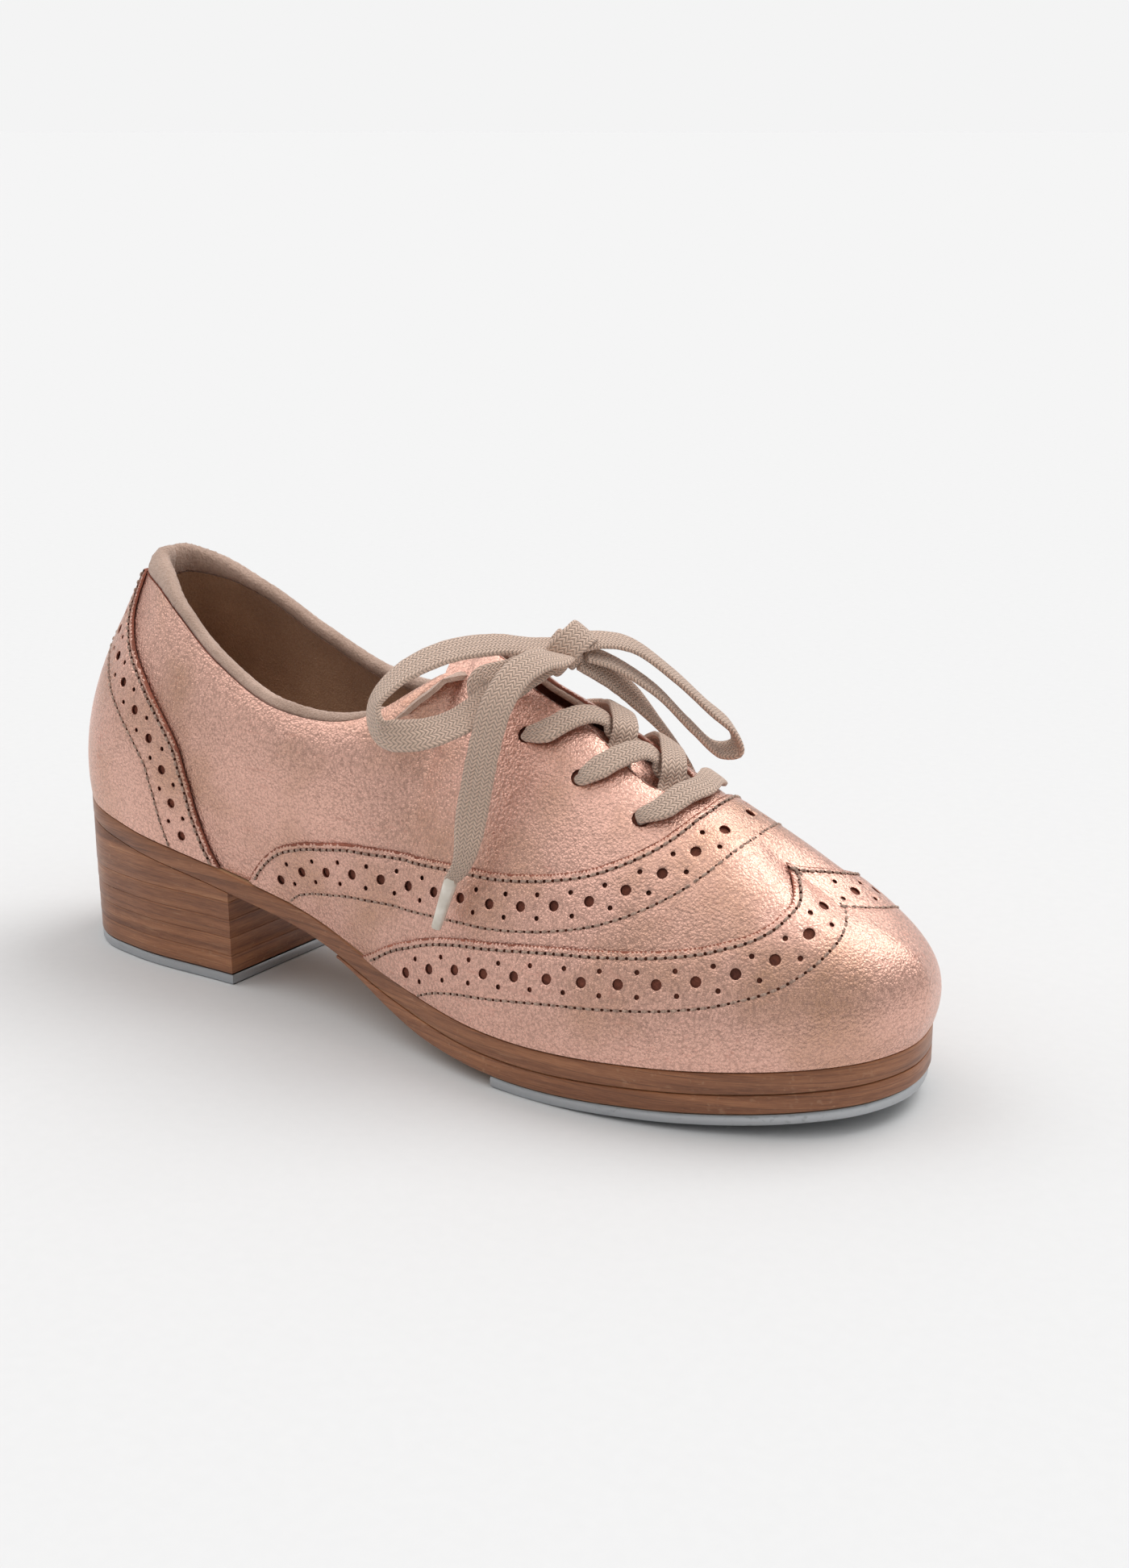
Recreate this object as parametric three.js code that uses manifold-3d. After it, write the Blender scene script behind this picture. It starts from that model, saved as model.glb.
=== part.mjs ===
// Tap shoe for the right foot: a wingtip oxford upper on a leather sole and stacked heel, with two
// screwed-on metal taps. +X points to the toe, +Y to the inner (medial) side, +Z up; the floor is Z = 0.

import * as THREE from 'three';
import { mergeVertices } from 'three/addons/utils/BufferGeometryUtils.js';
import Module from 'manifold-3d';

const wasm = await Module();
wasm.setup();

// ---- Driving dimensions, mm ----

const SHOE_LENGTH = 248;        // heel to toe along the edge where the upper meets the sole
const BALL_WIDTH = 78;          // sole width across the ball of the foot
const HEEL_WIDTH = 56;          // sole width across the heel
const HEEL_RISE = 44;           // floor to sole top at the back of the heel
const BALL_RISE = 13.4;         // floor to sole top under the ball
const INSTEP_HEIGHT = 80;       // sole top to the upper end of the lacing
const HEEL_BREAST = 66;         // back of the shoe to the heel's front face
const OUTSOLE_THICKNESS = 5.2;
const FOREFOOT_THICKNESS = 4.4; // second sole layer under the ball and toe
const FOREFOOT_START = 104;     // back end of the second sole layer
const TAP_THICKNESS = 2.8;
const TOE_TAP_START = 160;
const LIFT_COUNT = 4;           // level leather lifts between the heel tap and the seat lift
const LIFT_PITCH = 5;
const LEATHER = 1.1;            // thickness of each leather layer of the upper
const CLEAR = 0.3;              // gap left between neighbouring pieces
const LACE_WIDTH = 7.5;
const LACE_THICKNESS = 2;
const EYELET_DIAMETER = 4.8;
const EYELET_COUNT = 4;         // pairs
const COLLAR_WIDTH = 5;
const COLLAR_HEEL_HEIGHT = 8.5;
const COLLAR_SIDE_HEIGHT = 4;
const SCREW_HEAD = 7;
const SCREW_SHANK = 3.2;
const SCREW_LENGTH = 11;

const COLUMNS = 48;             // stations round the upper
const ROWS = 8;                 // stations from the sole up to the top edge
const SOLE_STATIONS = 18;
const UP = new THREE.Vector3(0, 0, 1);

// ---- Curves ----

// A smooth curve through the given knots, as a function of the knot parameter.
function through(knots, values) {
  const last = knots.length - 1;
  const step = knots.slice(1).map((k, i) => k - knots[i]);
  const slope = step.map((h, i) => (values[i + 1] - values[i]) / h);
  const tangent = values.map((v, i) => {
    if (i === 0) return slope[0];
    if (i === last) return slope[last - 1];
    return (slope[i - 1] * step[i] + slope[i] * step[i - 1]) / (step[i - 1] + step[i]);
  });
  return (x) => {
    const q = Math.min(Math.max(x, knots[0]), knots[last]);
    let i = 0;
    while (i < last - 1 && q > knots[i + 1]) i += 1;
    const h = step[i];
    const t = (q - knots[i]) / h;
    const a = (1 + 2 * t) * (1 - t) ** 2;
    const b = t * (1 - t) ** 2 * h;
    const c = t * t * (3 - 2 * t);
    const d = t * t * (t - 1) * h;
    return a * values[i] + b * tangent[i] + c * values[i + 1] + d * tangent[i + 1];
  };
}

const column = (rows, i) => rows.map((row) => row[i]);
const curveOf = (rows, i) => through(column(rows, 0), column(rows, i));
const clamp01 = (x) => Math.min(Math.max(x, 0), 1);
const smooth = (x) => clamp01(x) ** 2 * (3 - 2 * clamp01(x));
const mix = (a, b, w) => a + (b - a) * w;

// ---- Sole outline ----

// Reach u runs from the back of the heel (0) to the toe (1) on either side of the shoe.
// Each row: reach, share of the length, share of the width on the outer side, on the inner side.
const OUTLINE = [
  [0, 0, 0, 0],
  [0.05, 0.016, 0.25, 0.25],
  [0.10, 0.058, 0.43, 0.43],
  [0.16, 0.125, 0.5, 0.5],
  [0.26, 0.25, 0.48, 0.455],
  [0.36, 0.371, 0.42, 0.33],
  [0.47, 0.5, 0.44, 0.325],
  [0.58, 0.633, 0.5, 0.44],
  [0.68, 0.754, 0.494, 0.5],
  [0.78, 0.863, 0.404, 0.48],
  [0.87, 0.945, 0.256, 0.397],
  [0.94, 0.986, 0.103, 0.263],
  [1, 1, -0.07, 0.07],
];
const widthAt = (u) => mix(HEEL_WIDTH, BALL_WIDTH, smooth((u - 0.2) / 0.38));

function closedOutline() {
  const loop = [];
  for (const [u, x, outer] of OUTLINE) {
    loop.push([u / 2, x * SHOE_LENGTH, -outer * widthAt(u)]);
  }
  for (const [u, x, , inner] of OUTLINE.slice(1, -1).reverse()) {
    loop.push([1 - u / 2, x * SHOE_LENGTH, inner * widthAt(u)]);
  }
  const before = loop.slice(-3).map(([s, x, y]) => [s - 1, x, y]);
  const after = loop.slice(0, 4).map(([s, x, y]) => [s + 1, x, y]);
  const rows = [...before, ...loop, ...after];
  return [curveOf(rows, 1), curveOf(rows, 2)];
}

const [outlineX, outlineY] = closedOutline();
const wrap = (s) => s - Math.floor(s);
const reach = (s) => (s <= 0.5 ? 2 * s : 2 * (1 - s));
const stationOf = (u, side) => (side < 0 ? u / 2 : 1 - u / 2);

function outward(s) {
  const e = 1e-3;
  const dx = outlineX(wrap(s) + e) - outlineX(wrap(s) - e);
  const dy = outlineY(wrap(s) + e) - outlineY(wrap(s) - e);
  return new THREE.Vector3(dy, -dx, 0).normalize();
}

function outlinePoint(s, inset) {
  const w = wrap(s);
  return new THREE.Vector3(outlineX(w), outlineY(w), 0).addScaledVector(outward(w), -inset);
}

// Height of the sole's top face along the shoe: share of the drop from heel to ball.
const PITCH = [
  [0, 1], [0.12, 0.79], [0.24, 0.62], [0.38, 0.4], [0.52, 0.11], [0.65, 0], [0.81, 0.036], [1, 0.15],
];
const pitch = curveOf(PITCH, 1);
const soleTop = (x) => BALL_RISE + (HEEL_RISE - BALL_RISE) * pitch(x / SHOE_LENGTH);
const outsoleBottom = (x) => soleTop(x) - CLEAR - OUTSOLE_THICKNESS;
const forefootBottom = (x) => {
  const full = OUTSOLE_THICKNESS + CLEAR + FOREFOOT_THICKNESS;
  const skive = smooth((x - FOREFOOT_START) / 34);
  return soleTop(x) - CLEAR - mix(OUTSOLE_THICKNESS + CLEAR + 0.8, full, skive);
};

// ---- Surface of the upper ----

// Top edge of the upper, then the ridge of the vamp: reach, share of the length, half gap on the outer
// and inner side, share of the instep height.
const CREST = [
  [0, 0.075, 0, 0, 0.765],
  [0.05, 0.09, 7.9, 8.2, 0.785],
  [0.10, 0.13, 13.6, 14.6, 0.785],
  [0.16, 0.178, 18.4, 19.2, 0.745],
  [0.23, 0.248, 22.4, 22.4, 0.662],
  [0.30, 0.337, 24, 23.4, 0.61],
  [0.37, 0.43, 20.6, 20, 0.686],
  [0.42, 0.487, 12.4, 12.4, 0.85],
  [0.47, 0.527, 0, 0, 0.98],
  [0.58, 0.603, 0, 0, 0.93],
  [0.70, 0.692, 0, 0, 0.824],
  [0.80, 0.765, 0, 0, 0.7],
  [0.90, 0.831, 0, 0, 0.58],
  [1, 0.875, 0, 0, 0.47],
];
const RIDGE_START = 0.47;
const crestX = curveOf(CREST, 1);
const crestOuter = curveOf(CREST, 2);
const crestInner = curveOf(CREST, 3);
const crestHeight = curveOf(CREST, 4);

// Fullness of each rib: reach, outward swell and rise at the foot, pull and droop (degrees) at the crest.
const RIBS = [
  [0, 4.4, 23.4, 22.8, 67],
  [0.10, 2.9, 22.8, 18.5, 64.5],
  [0.26, 1.6, 20.2, 14, 62],
  [0.36, 2.1, 17.7, 13.4, 48],
  [0.47, 2.6, 13.5, 15, 20],
  [0.58, 1.9, 12, 19, 14],
  [0.68, 2.3, 12.8, 20.4, 12],
  [0.78, 4, 14.7, 18.6, 12],
  [0.87, 6.2, 19, 18, 14],
  [0.94, 9, 23, 19.8, 16],
  [1, 10.6, 26, 23, 20],
];
const swell = curveOf(RIBS, 1);
const rise = curveOf(RIBS, 2);
const pull = curveOf(RIBS, 3);
const droop = curveOf(RIBS, 4);
const INSET_HEEL = 1.4;         // the upper's reference surface lies this far inside the sole edge
const INSET_TOE = 2.6;

function crestPoint(u, side) {
  const half = u < RIDGE_START ? (side < 0 ? crestOuter(u) : crestInner(u)) : 0;
  const x = crestX(u) * SHOE_LENGTH;
  const z = soleTop(x) + crestHeight(u) * INSTEP_HEIGHT;
  return new THREE.Vector3(x, side * Math.max(half, 0), z);
}

function rib(s) {
  const u = reach(s);
  const side = s <= 0.5 ? -1 : 1;
  const size = INSTEP_HEIGHT / 80;
  const foot = outlinePoint(s, mix(INSET_HEEL, INSET_TOE, smooth((u - 0.36) / 0.2)));
  foot.z = soleTop(foot.x);
  const crest = crestPoint(u, side);
  const out = outward(s);
  const e = 2e-3;
  const ahead = crestPoint(Math.min(u + e, 1), side);
  const behind = crestPoint(Math.max(u - e, 0), side);
  const fall = (ahead.z - behind.z) / (ahead.x - behind.x);
  const angle = THREE.MathUtils.degToRad(droop(u));
  const shoulder = out.clone().multiplyScalar(Math.cos(angle)).addScaledVector(UP, -Math.sin(angle));
  const ridge = out.clone().addScaledVector(UP, fall * out.x).normalize();
  const lean = shoulder.lerp(ridge, smooth((u - 0.38) / 0.09));
  const low = foot.clone().addScaledVector(out, swell(u)).addScaledVector(UP, rise(u) * size);
  const high = crest.clone().addScaledVector(lean, pull(u) * size);
  return [foot, low, high, crest];
}

const ribCache = new Map();
function ribAt(s) {
  const key = s.toFixed(7);
  if (!ribCache.has(key)) ribCache.set(key, rib(s));
  return ribCache.get(key);
}

function surface(s, t) {
  const [a, b, c, d] = ribAt(wrap(s));
  const r = 1 - t;
  return new THREE.Vector3()
    .addScaledVector(a, r ** 3)
    .addScaledVector(b, 3 * t * r * r)
    .addScaledVector(c, 3 * t * t * r)
    .addScaledVector(d, t ** 3);
}

function surfaceNormal(s, t) {
  if (t < 1e-6) return outward(s);
  const e = 1e-3;
  const low = Math.max(t - e, 0);
  const high = Math.min(t + e, 1);
  const along = surface(s + e, t).sub(surface(s - e, t));
  const upward = surface(s, high).sub(surface(s, low));
  if (t > 1 - 1e-6 && reach(wrap(s)) >= RIDGE_START) {
    const u = reach(wrap(s));
    const back = crestPoint(Math.max(u - e, RIDGE_START), 1);
    const front = crestPoint(Math.min(u + e, 1), 1);
    const ridge = front.sub(back);
    return new THREE.Vector3(-ridge.z, 0, ridge.x).normalize();
  }
  return along.cross(upward).normalize();
}

const lift = (s, t, height) => surface(s, t).addScaledVector(surfaceNormal(s, t), height);

// ---- Seam lines of the upper, as the rib share t at each reach u ----

const WING_EDGE = [
  [0.435, 0], [0.467, 0.125], [0.5, 0.195], [0.55, 0.26], [0.6, 0.3], [0.65, 0.33], [0.7, 0.352],
  [0.76, 0.387], [0.81, 0.43], [0.85, 0.485], [0.88, 0.56], [0.905, 0.65], [0.93, 0.8], [0.96, 0.95],
  [1, 1.04],
];
const VAMP_EDGE = [
  [0.295, 0], [0.306, 0.1], [0.323, 0.219], [0.348, 0.312], [0.381, 0.366], [0.431, 0.375],
  [0.487, 0.378], [0.53, 0.4], [0.57, 0.43], [0.61, 0.457], [0.65, 0.49], [0.69, 0.535], [0.73, 0.605],
  [0.765, 0.69], [0.8, 0.81], [0.83, 0.95], [0.85, 1.1], [1, 1.4],
];
const FOXING_EDGE = [
  [0, 0.263], [0.044, 0.256], [0.175, 0.242], [0.356, 0.225], [0.513, 0.2], [0.625, 0.156],
  [0.7, 0.118], [0.8, 0.082], [0.9, 0.064], [1.05, 0.052],
];
const FACING_EDGE = [[0.4, 1.1], [0.455, 0.945], [0.52, 0.93], [0.66, 0.915], [0.78, 0.9], [0.82, 1.05]];
const wingEdge = curveOf(WING_EDGE, 1);
const vampEdge = curveOf(VAMP_EDGE, 1);
const foxingEdge = curveOf(FOXING_EDGE, 1);
const facingEdge = curveOf(FACING_EDGE, 1);
const UNDERLAP = 0.12;
const BACK_SEAM = 0.0015;

// ---- Building blocks ----

function geometryFrom(points, triangles) {
  const geometry = new THREE.BufferGeometry();
  const flat = points.flatMap((p) => [p.x, p.y, p.z]);
  geometry.setAttribute('position', new THREE.Float32BufferAttribute(flat, 3));
  geometry.setIndex(triangles.flat());
  return geometry;
}

function toManifold(geometry) {
  const bare = geometry.clone();
  bare.deleteAttribute('normal');
  bare.deleteAttribute('uv');
  const merged = mergeVertices(bare, 1e-4);
  const vertProperties = new Float32Array(merged.attributes.position.array);
  const triVerts = new Uint32Array(merged.index.array);
  return new wasm.Manifold(new wasm.Mesh({ numProp: 3, vertProperties, triVerts }));
}

function cut(geometry, cutters) {
  let solid = toManifold(geometry);
  for (const cutter of cutters) solid = solid.subtract(toManifold(cutter));
  const mesh = solid.getMesh();
  const result = new THREE.BufferGeometry();
  result.setAttribute('position', new THREE.Float32BufferAttribute(mesh.vertProperties, 3));
  result.setIndex(Array.from(mesh.triVerts));
  return result;
}

// Keeps the part of a polygon, in the surface's own (s, t) coordinates, where keep(s, t) is positive.
function clipPolygon(polygon, keep) {
  const snap = 0.004;
  const value = polygon.map(([s, t]) => {
    const v = keep(s, t);
    return Math.abs(v) < snap ? 0 : v;
  });
  const out = [];
  polygon.forEach((p, i) => {
    const j = (i + 1) % polygon.length;
    const q = polygon[j];
    if (value[i] >= 0) out.push(p);
    if (value[i] * value[j] < 0) {
      const forward = p[0] < q[0] || (p[0] === q[0] && p[1] < q[1]);
      const [a, b, va, vb] = forward ? [p, q, value[i], value[j]] : [q, p, value[j], value[i]];
      const w = va / (va - vb);
      out.push([mix(a[0], b[0], w), mix(a[1], b[1], w)]);
    }
  });
  return out;
}

// A point of the faceted reference surface: neighbouring layers share these facets, so they stay parallel.
const gridPoint = (i, j, height) => lift(wrap(i / COLUMNS), j / ROWS, height);

function facetPoint(s, t, height) {
  const gs = s * COLUMNS;
  const gt = t * ROWS;
  const i = Math.min(Math.floor(gs + 1e-9), COLUMNS - 1);
  const j = Math.min(Math.floor(gt + 1e-9), ROWS - 1);
  const a = gs - i;
  const b = gt - j;
  const p00 = gridPoint(i, j, height);
  const p11 = gridPoint(i + 1, j + 1, height);
  const corner = a >= b ? gridPoint(i + 1, j, height) : gridPoint(i, j + 1, height);
  const [w00, wc, w11] = a >= b ? [1 - a, a - b, b] : [1 - b, b - a, a];
  return p00.multiplyScalar(w00).addScaledVector(corner, wc).addScaledVector(p11, w11);
}

// A leather layer between two heights above the reference surface, trimmed by the keep functions.
function shell(inner, outer, keeps) {
  const index = new Map();
  const places = [];
  const faces = [];
  const vertex = ([s, t]) => {
    const onRidge = t > 1 - 1e-7 && reach(s) >= RIDGE_START;
    const station = onRidge && s > 0.5 ? 1 - s : wrap(s + 1e-9);
    const key = `${station.toFixed(6)},${t.toFixed(6)}`;
    if (!index.has(key)) {
      index.set(key, places.length);
      places.push([s, t]);
    }
    return index.get(key);
  };
  for (let i = 0; i < COLUMNS; i += 1) {
    for (let j = 0; j < ROWS; j += 1) {
      const [s0, s1] = [i / COLUMNS, (i + 1) / COLUMNS];
      const [t0, t1] = [j / ROWS, (j + 1) / ROWS];
      const halves = [[[s0, t0], [s1, t0], [s1, t1]], [[s0, t0], [s1, t1], [s0, t1]]];
      for (const half of halves) {
        const polygon = keeps.reduce((p, keep) => (p.length ? clipPolygon(p, keep) : p), half);
        const ring = polygon.map(vertex).filter((v, k, all) => v !== all[(k + 1) % all.length]);
        for (let k = 1; k < ring.length - 1; k += 1) faces.push([ring[0], ring[k], ring[k + 1]]);
      }
    }
  }
  const count = places.length;
  const points = [outer, inner].flatMap((height) => places.map(([s, t]) => facetPoint(s, t, height)));
  const edges = new Set(faces.flatMap(([a, b, c]) => [`${a},${b}`, `${b},${c}`, `${c},${a}`]));
  const walls = [];
  for (const edge of edges) {
    const [a, b] = edge.split(',').map(Number);
    if (!edges.has(`${b},${a}`)) walls.push([a, a + count, b + count], [a, b + count, b]);
  }
  const inside = faces.map(([a, b, c]) => [a + count, c + count, b + count]);
  return geometryFrom(points, [...faces, ...inside, ...walls]);
}

// A solid swept through rings that all have the same number of points.
function loft(rings) {
  const size = rings[0].length;
  const points = rings.flat();
  const triangles = [];
  for (let r = 0; r < rings.length - 1; r += 1) {
    for (let k = 0; k < size; k += 1) {
      const a = r * size + k;
      const b = r * size + ((k + 1) % size);
      triangles.push([a, b, b + size], [a, b + size, a + size]);
    }
  }
  const end = (rings.length - 1) * size;
  for (let k = 1; k < size - 1; k += 1) {
    triangles.push([0, k + 1, k], [end, end + k, end + k + 1]);
  }
  return geometryFrom(points, triangles);
}

// A plate that follows the sole outline between two reaches, from one height law to another.
function plate(from, to, inset, bottom, top) {
  const rings = [];
  const stations = Math.ceil(mix(9, SOLE_STATIONS, to - from));
  for (let k = 0; k <= stations; k += 1) {
    const u = mix(from, to, k / stations);
    const blunt = Math.min(Math.max(u, 0.012), 0.988);
    const outer = outlinePoint(stationOf(blunt, -1), inset);
    const inner = outlinePoint(stationOf(blunt, 1), inset);
    rings.push([[outer, top], [inner, top], [inner, bottom], [outer, bottom]].map(([p, height]) => (
      new THREE.Vector3(p.x, p.y, height(p.x))
    )));
  }
  return loft(rings);
}

// The reach at which the outline is a given distance along the shoe.
function reachAt(x) {
  let low = 0;
  let high = 1;
  for (let k = 0; k < 40; k += 1) {
    const middle = (low + high) / 2;
    if (outlineX(middle / 2) < x) low = middle;
    else high = middle;
  }
  return low;
}

function cylinder(radius, bottom, top, x, y, sides = 10) {
  const geometry = new THREE.CylinderGeometry(radius, radius, top - bottom, sides);
  geometry.rotateX(Math.PI / 2);
  geometry.translate(x, y, (top + bottom) / 2);
  return geometry;
}

// A body of revolution about a vertical axis from [radius, height] pairs that start and end on the axis.
function turned(profile, x, y, sides = 10) {
  const geometry = new THREE.LatheGeometry(profile.map(([r, z]) => new THREE.Vector2(r, z)), sides);
  geometry.rotateX(Math.PI / 2);
  geometry.translate(x, y, 0);
  return geometry;
}

const EDGE_ROUND = [
  [1, 0.45], [0.78, 1], [-0.78, 1], [-1, 0.45], [-1, -0.45], [-0.78, -1], [0.78, -1], [1, -0.45],
];

// A flat lace strand through points; faces give the direction its flat side looks, widths may taper.
function strand(points, faces, width = LACE_WIDTH, steps = 12, ends = [1, 1]) {
  const path = new THREE.CatmullRomCurve3(points, false, 'centripetal');
  const facing = new THREE.CatmullRomCurve3(faces, false, 'centripetal');
  const rings = [];
  for (let k = 0; k <= steps; k += 1) {
    const f = k / steps;
    const taper = Math.min(1, mix(ends[0], 1, f * 5), mix(ends[1], 1, (1 - f) * 5));
    const centre = path.getPointAt(f);
    const tangent = path.getTangentAt(f);
    const across = new THREE.Vector3().crossVectors(facing.getPoint(f), tangent).normalize();
    const normal = new THREE.Vector3().crossVectors(tangent, across);
    rings.push(EDGE_ROUND.map(([a, b]) => centre.clone()
      .addScaledVector(across, (a * width * taper) / 2)
      .addScaledVector(normal, (b * LACE_THICKNESS) / 2)));
  }
  return loft(rings);
}

const v = (x, y, z) => new THREE.Vector3(x, y, z);

// ---- Assembly ----

const group = new THREE.Group();

function outwardFacing(geometry) {
  const position = geometry.attributes.position;
  const order = Array.from(geometry.index.array);
  const [a, b, c] = [v(0, 0, 0), v(0, 0, 0), v(0, 0, 0)];
  let volume = 0;
  for (let k = 0; k < order.length; k += 3) {
    a.fromBufferAttribute(position, order[k]);
    b.fromBufferAttribute(position, order[k + 1]);
    c.fromBufferAttribute(position, order[k + 2]);
    volume += a.dot(b.cross(c));
  }
  if (volume > 0) return geometry;
  for (let k = 0; k < order.length; k += 3) [order[k], order[k + 1]] = [order[k + 1], order[k]];
  geometry.setIndex(order);
  return geometry;
}

function add(name, geometry, { color, roughness = 0.6, metalness = 0 }) {
  const material = new THREE.MeshStandardMaterial({ color, roughness, metalness });
  const solid = outwardFacing(geometry);
  solid.computeVertexNormals();
  const mesh = new THREE.Mesh(solid, material);
  mesh.name = name;
  group.add(mesh);
  return mesh;
}

const ROSE_LEATHER = { color: 0xe2ae9b, roughness: 0.36, metalness: 0.55 };
const RAW_LINING = { color: 0xbea591, roughness: 0.95 };
const SOLE_LEATHER = { color: 0x875f46, roughness: 0.55 };
const BOARD = { color: 0xa98a68, roughness: 0.85 };
const CORK = { color: 0x9c7446, roughness: 0.95 };
const STEEL = { color: 0x8d9093, roughness: 0.35, metalness: 1 };
const ALUMINIUM = { color: 0xaaafb2, roughness: 0.38, metalness: 0.9 };
const COTTON = { color: 0xb9a08c, roughness: 0.95 };
const CLEAR_PLASTIC = { color: 0xd8cdc0, roughness: 0.2 };
const STIFFENER = { color: 0xcfc5b0, roughness: 0.9 };

// ---- Taps and their screws ----

const tapInset = 0.6;
const toeTapTop = (x) => forefootBottom(x) - CLEAR;
const toeTapBottom = (x) => toeTapTop(x) - TAP_THICKNESS;
const heelBase = TAP_THICKNESS + CLEAR;
const breastReach = reachAt(HEEL_BREAST);
const SCREW_PLACES = {
  toe_tap_screw_back_outer: [TOE_TAP_START + 14, -BALL_WIDTH * 0.26],
  toe_tap_screw_back_inner: [TOE_TAP_START + 14, BALL_WIDTH * 0.26],
  toe_tap_screw_front: [SHOE_LENGTH - 18, BALL_WIDTH * 0.05],
  heel_tap_screw_back: [14, 0],
  heel_tap_screw_front_outer: [HEEL_BREAST - 15, -HEEL_WIDTH * 0.28],
  heel_tap_screw_front_inner: [HEEL_BREAST - 15, HEEL_WIDTH * 0.27],
};
const isToeScrew = (x) => x > HEEL_BREAST;
const screwBase = (x) => {
  const floor = (at) => (isToeScrew(x) ? toeTapBottom(at) : 0);
  return Math.max(floor(x - SCREW_HEAD / 2), floor(x + SCREW_HEAD / 2)) + CLEAR;
};
const HEAD_DEPTH = 1.9;

function screwProfile(base, grow) {
  const head = SCREW_HEAD / 2 + grow;
  const shank = SCREW_SHANK / 2 + grow;
  return [
    [0, base], [head, base], [shank, base + HEAD_DEPTH + grow / 2],
    [shank, base + SCREW_LENGTH - 2 + grow], [0, base + SCREW_LENGTH + grow],
  ];
}

function screwHole([x, y]) {
  const base = screwBase(x);
  const [, rim, ...rest] = screwProfile(base, CLEAR);
  return turned([[0, base - 3], [rim[0], base - 3], rim, ...rest], x, y);
}

const screwHoles = Object.values(SCREW_PLACES).map((place) => ({ place, hole: screwHole(place) }));
const toeHoles = screwHoles.filter(({ place }) => isToeScrew(place[0])).map(({ hole }) => hole);
const heelHoles = screwHoles.filter(({ place }) => !isToeScrew(place[0])).map(({ hole }) => hole);

for (const [name, [x, y]] of Object.entries(SCREW_PLACES)) {
  const base = screwBase(x);
  const slot = new THREE.BoxGeometry(SCREW_HEAD + 1, 1, 1.6);
  slot.translate(x, y, base);
  add(name, cut(turned(screwProfile(base, 0), x, y), [slot]), STEEL);
}

add('toe_tap', cut(plate(reachAt(TOE_TAP_START), 1, tapInset, toeTapBottom, toeTapTop), toeHoles), ALUMINIUM);
add('heel_tap', cut(plate(0, breastReach, tapInset, () => 0, () => TAP_THICKNESS), heelHoles), ALUMINIUM);

// ---- Heel stack ----

const HEEL_SCREW = [30, 0];
const NAIL_PLACES = [[16, -13], [16, 13], [50, -15], [50, 15]];
const NAIL_RADIUS = 1;
const NAIL_LENGTH = 22;
const HEEL_SCREW_RADIUS = 1.9;
const HEEL_SCREW_LENGTH = 26;
const fastenerTop = (x, radius) => soleTop(x - radius) + CLEAR;
const heelScrewHole = cylinder(
  HEEL_SCREW_RADIUS + 2 * CLEAR,
  fastenerTop(HEEL_SCREW[0], 0) - HEEL_SCREW_LENGTH - CLEAR,
  fastenerTop(0, 0) + 5,
  ...HEEL_SCREW,
);
const nailHoles = NAIL_PLACES.map(([x, y]) => (
  cylinder(NAIL_RADIUS + 2 * CLEAR, fastenerTop(x, 0) - NAIL_LENGTH - CLEAR, fastenerTop(0, 0) + 5, x, y, 8)
));
const heelDrillings = [...heelHoles, heelScrewHole, ...nailHoles];

for (let n = 0; n < LIFT_COUNT; n += 1) {
  const bottom = heelBase + n * LIFT_PITCH;
  const top = bottom + LIFT_PITCH - CLEAR;
  const slab = plate(0, breastReach, 0.5 - n * 0.1, () => bottom, () => top);
  add(`heel_lift_${n + 1}`, cut(slab, heelDrillings), SOLE_LEATHER);
}
const seatBottom = heelBase + LIFT_COUNT * LIFT_PITCH;
const seat = plate(0, breastReach, 0.1, () => seatBottom, (x) => outsoleBottom(x) - CLEAR);
add('heel_seat_lift', cut(seat, heelDrillings), SOLE_LEATHER);

// ---- Sole layers ----

const SEAT_GAP = 0.42;          // outsole to the upper's foot: CLEAR, and the bow of the sole between stations
const outsole = plate(0, 1, 0, outsoleBottom, (x) => soleTop(x) - SEAT_GAP);
add('outsole', cut(outsole, [...toeHoles, heelScrewHole, ...nailHoles]), SOLE_LEATHER);
const forefoot = plate(reachAt(FOREFOOT_START), 1, 0, forefootBottom, (x) => outsoleBottom(x) - CLEAR);
add('forefoot_sole', cut(forefoot, toeHoles), SOLE_LEATHER);

const INNER_INSET = 7.4;
const FILLER_HEIGHT = 2.2;
const INSOLE_HEIGHT = 2;
const SOCK_HEIGHT = 1.2;
const fillerTop = (x) => soleTop(x) + FILLER_HEIGHT;
const insoleTop = (x) => fillerTop(x) + CLEAR + INSOLE_HEIGHT;
const sockTop = (x) => insoleTop(x) + CLEAR + SOCK_HEIGHT;
const innerReach = 0.03;
add('cork_filler', plate(reachAt(134), 1 - innerReach, INNER_INSET, (x) => soleTop(x), fillerTop), CORK);
add('insole', plate(innerReach, 1 - innerReach, INNER_INSET, (x) => fillerTop(x) + CLEAR, insoleTop), BOARD);
const sock = plate(innerReach, 1 - innerReach, INNER_INSET, (x) => insoleTop(x) + CLEAR, sockTop);
add('sock_lining', sock, RAW_LINING);

const SHANK_HALF_WIDTH = 7;
const shankRings = [];
for (let k = 0; k <= 10; k += 1) {
  const x = mix(42, 130, k / 10);
  const corners = [[-1, 1], [1, 1], [1, 0], [-1, 0]];
  shankRings.push(corners.map(([side, level]) => (
    v(x, side * SHANK_HALF_WIDTH, soleTop(x) + CLEAR + level * 1.4)
  )));
}
add('shank', loft(shankRings), STEEL);

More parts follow.
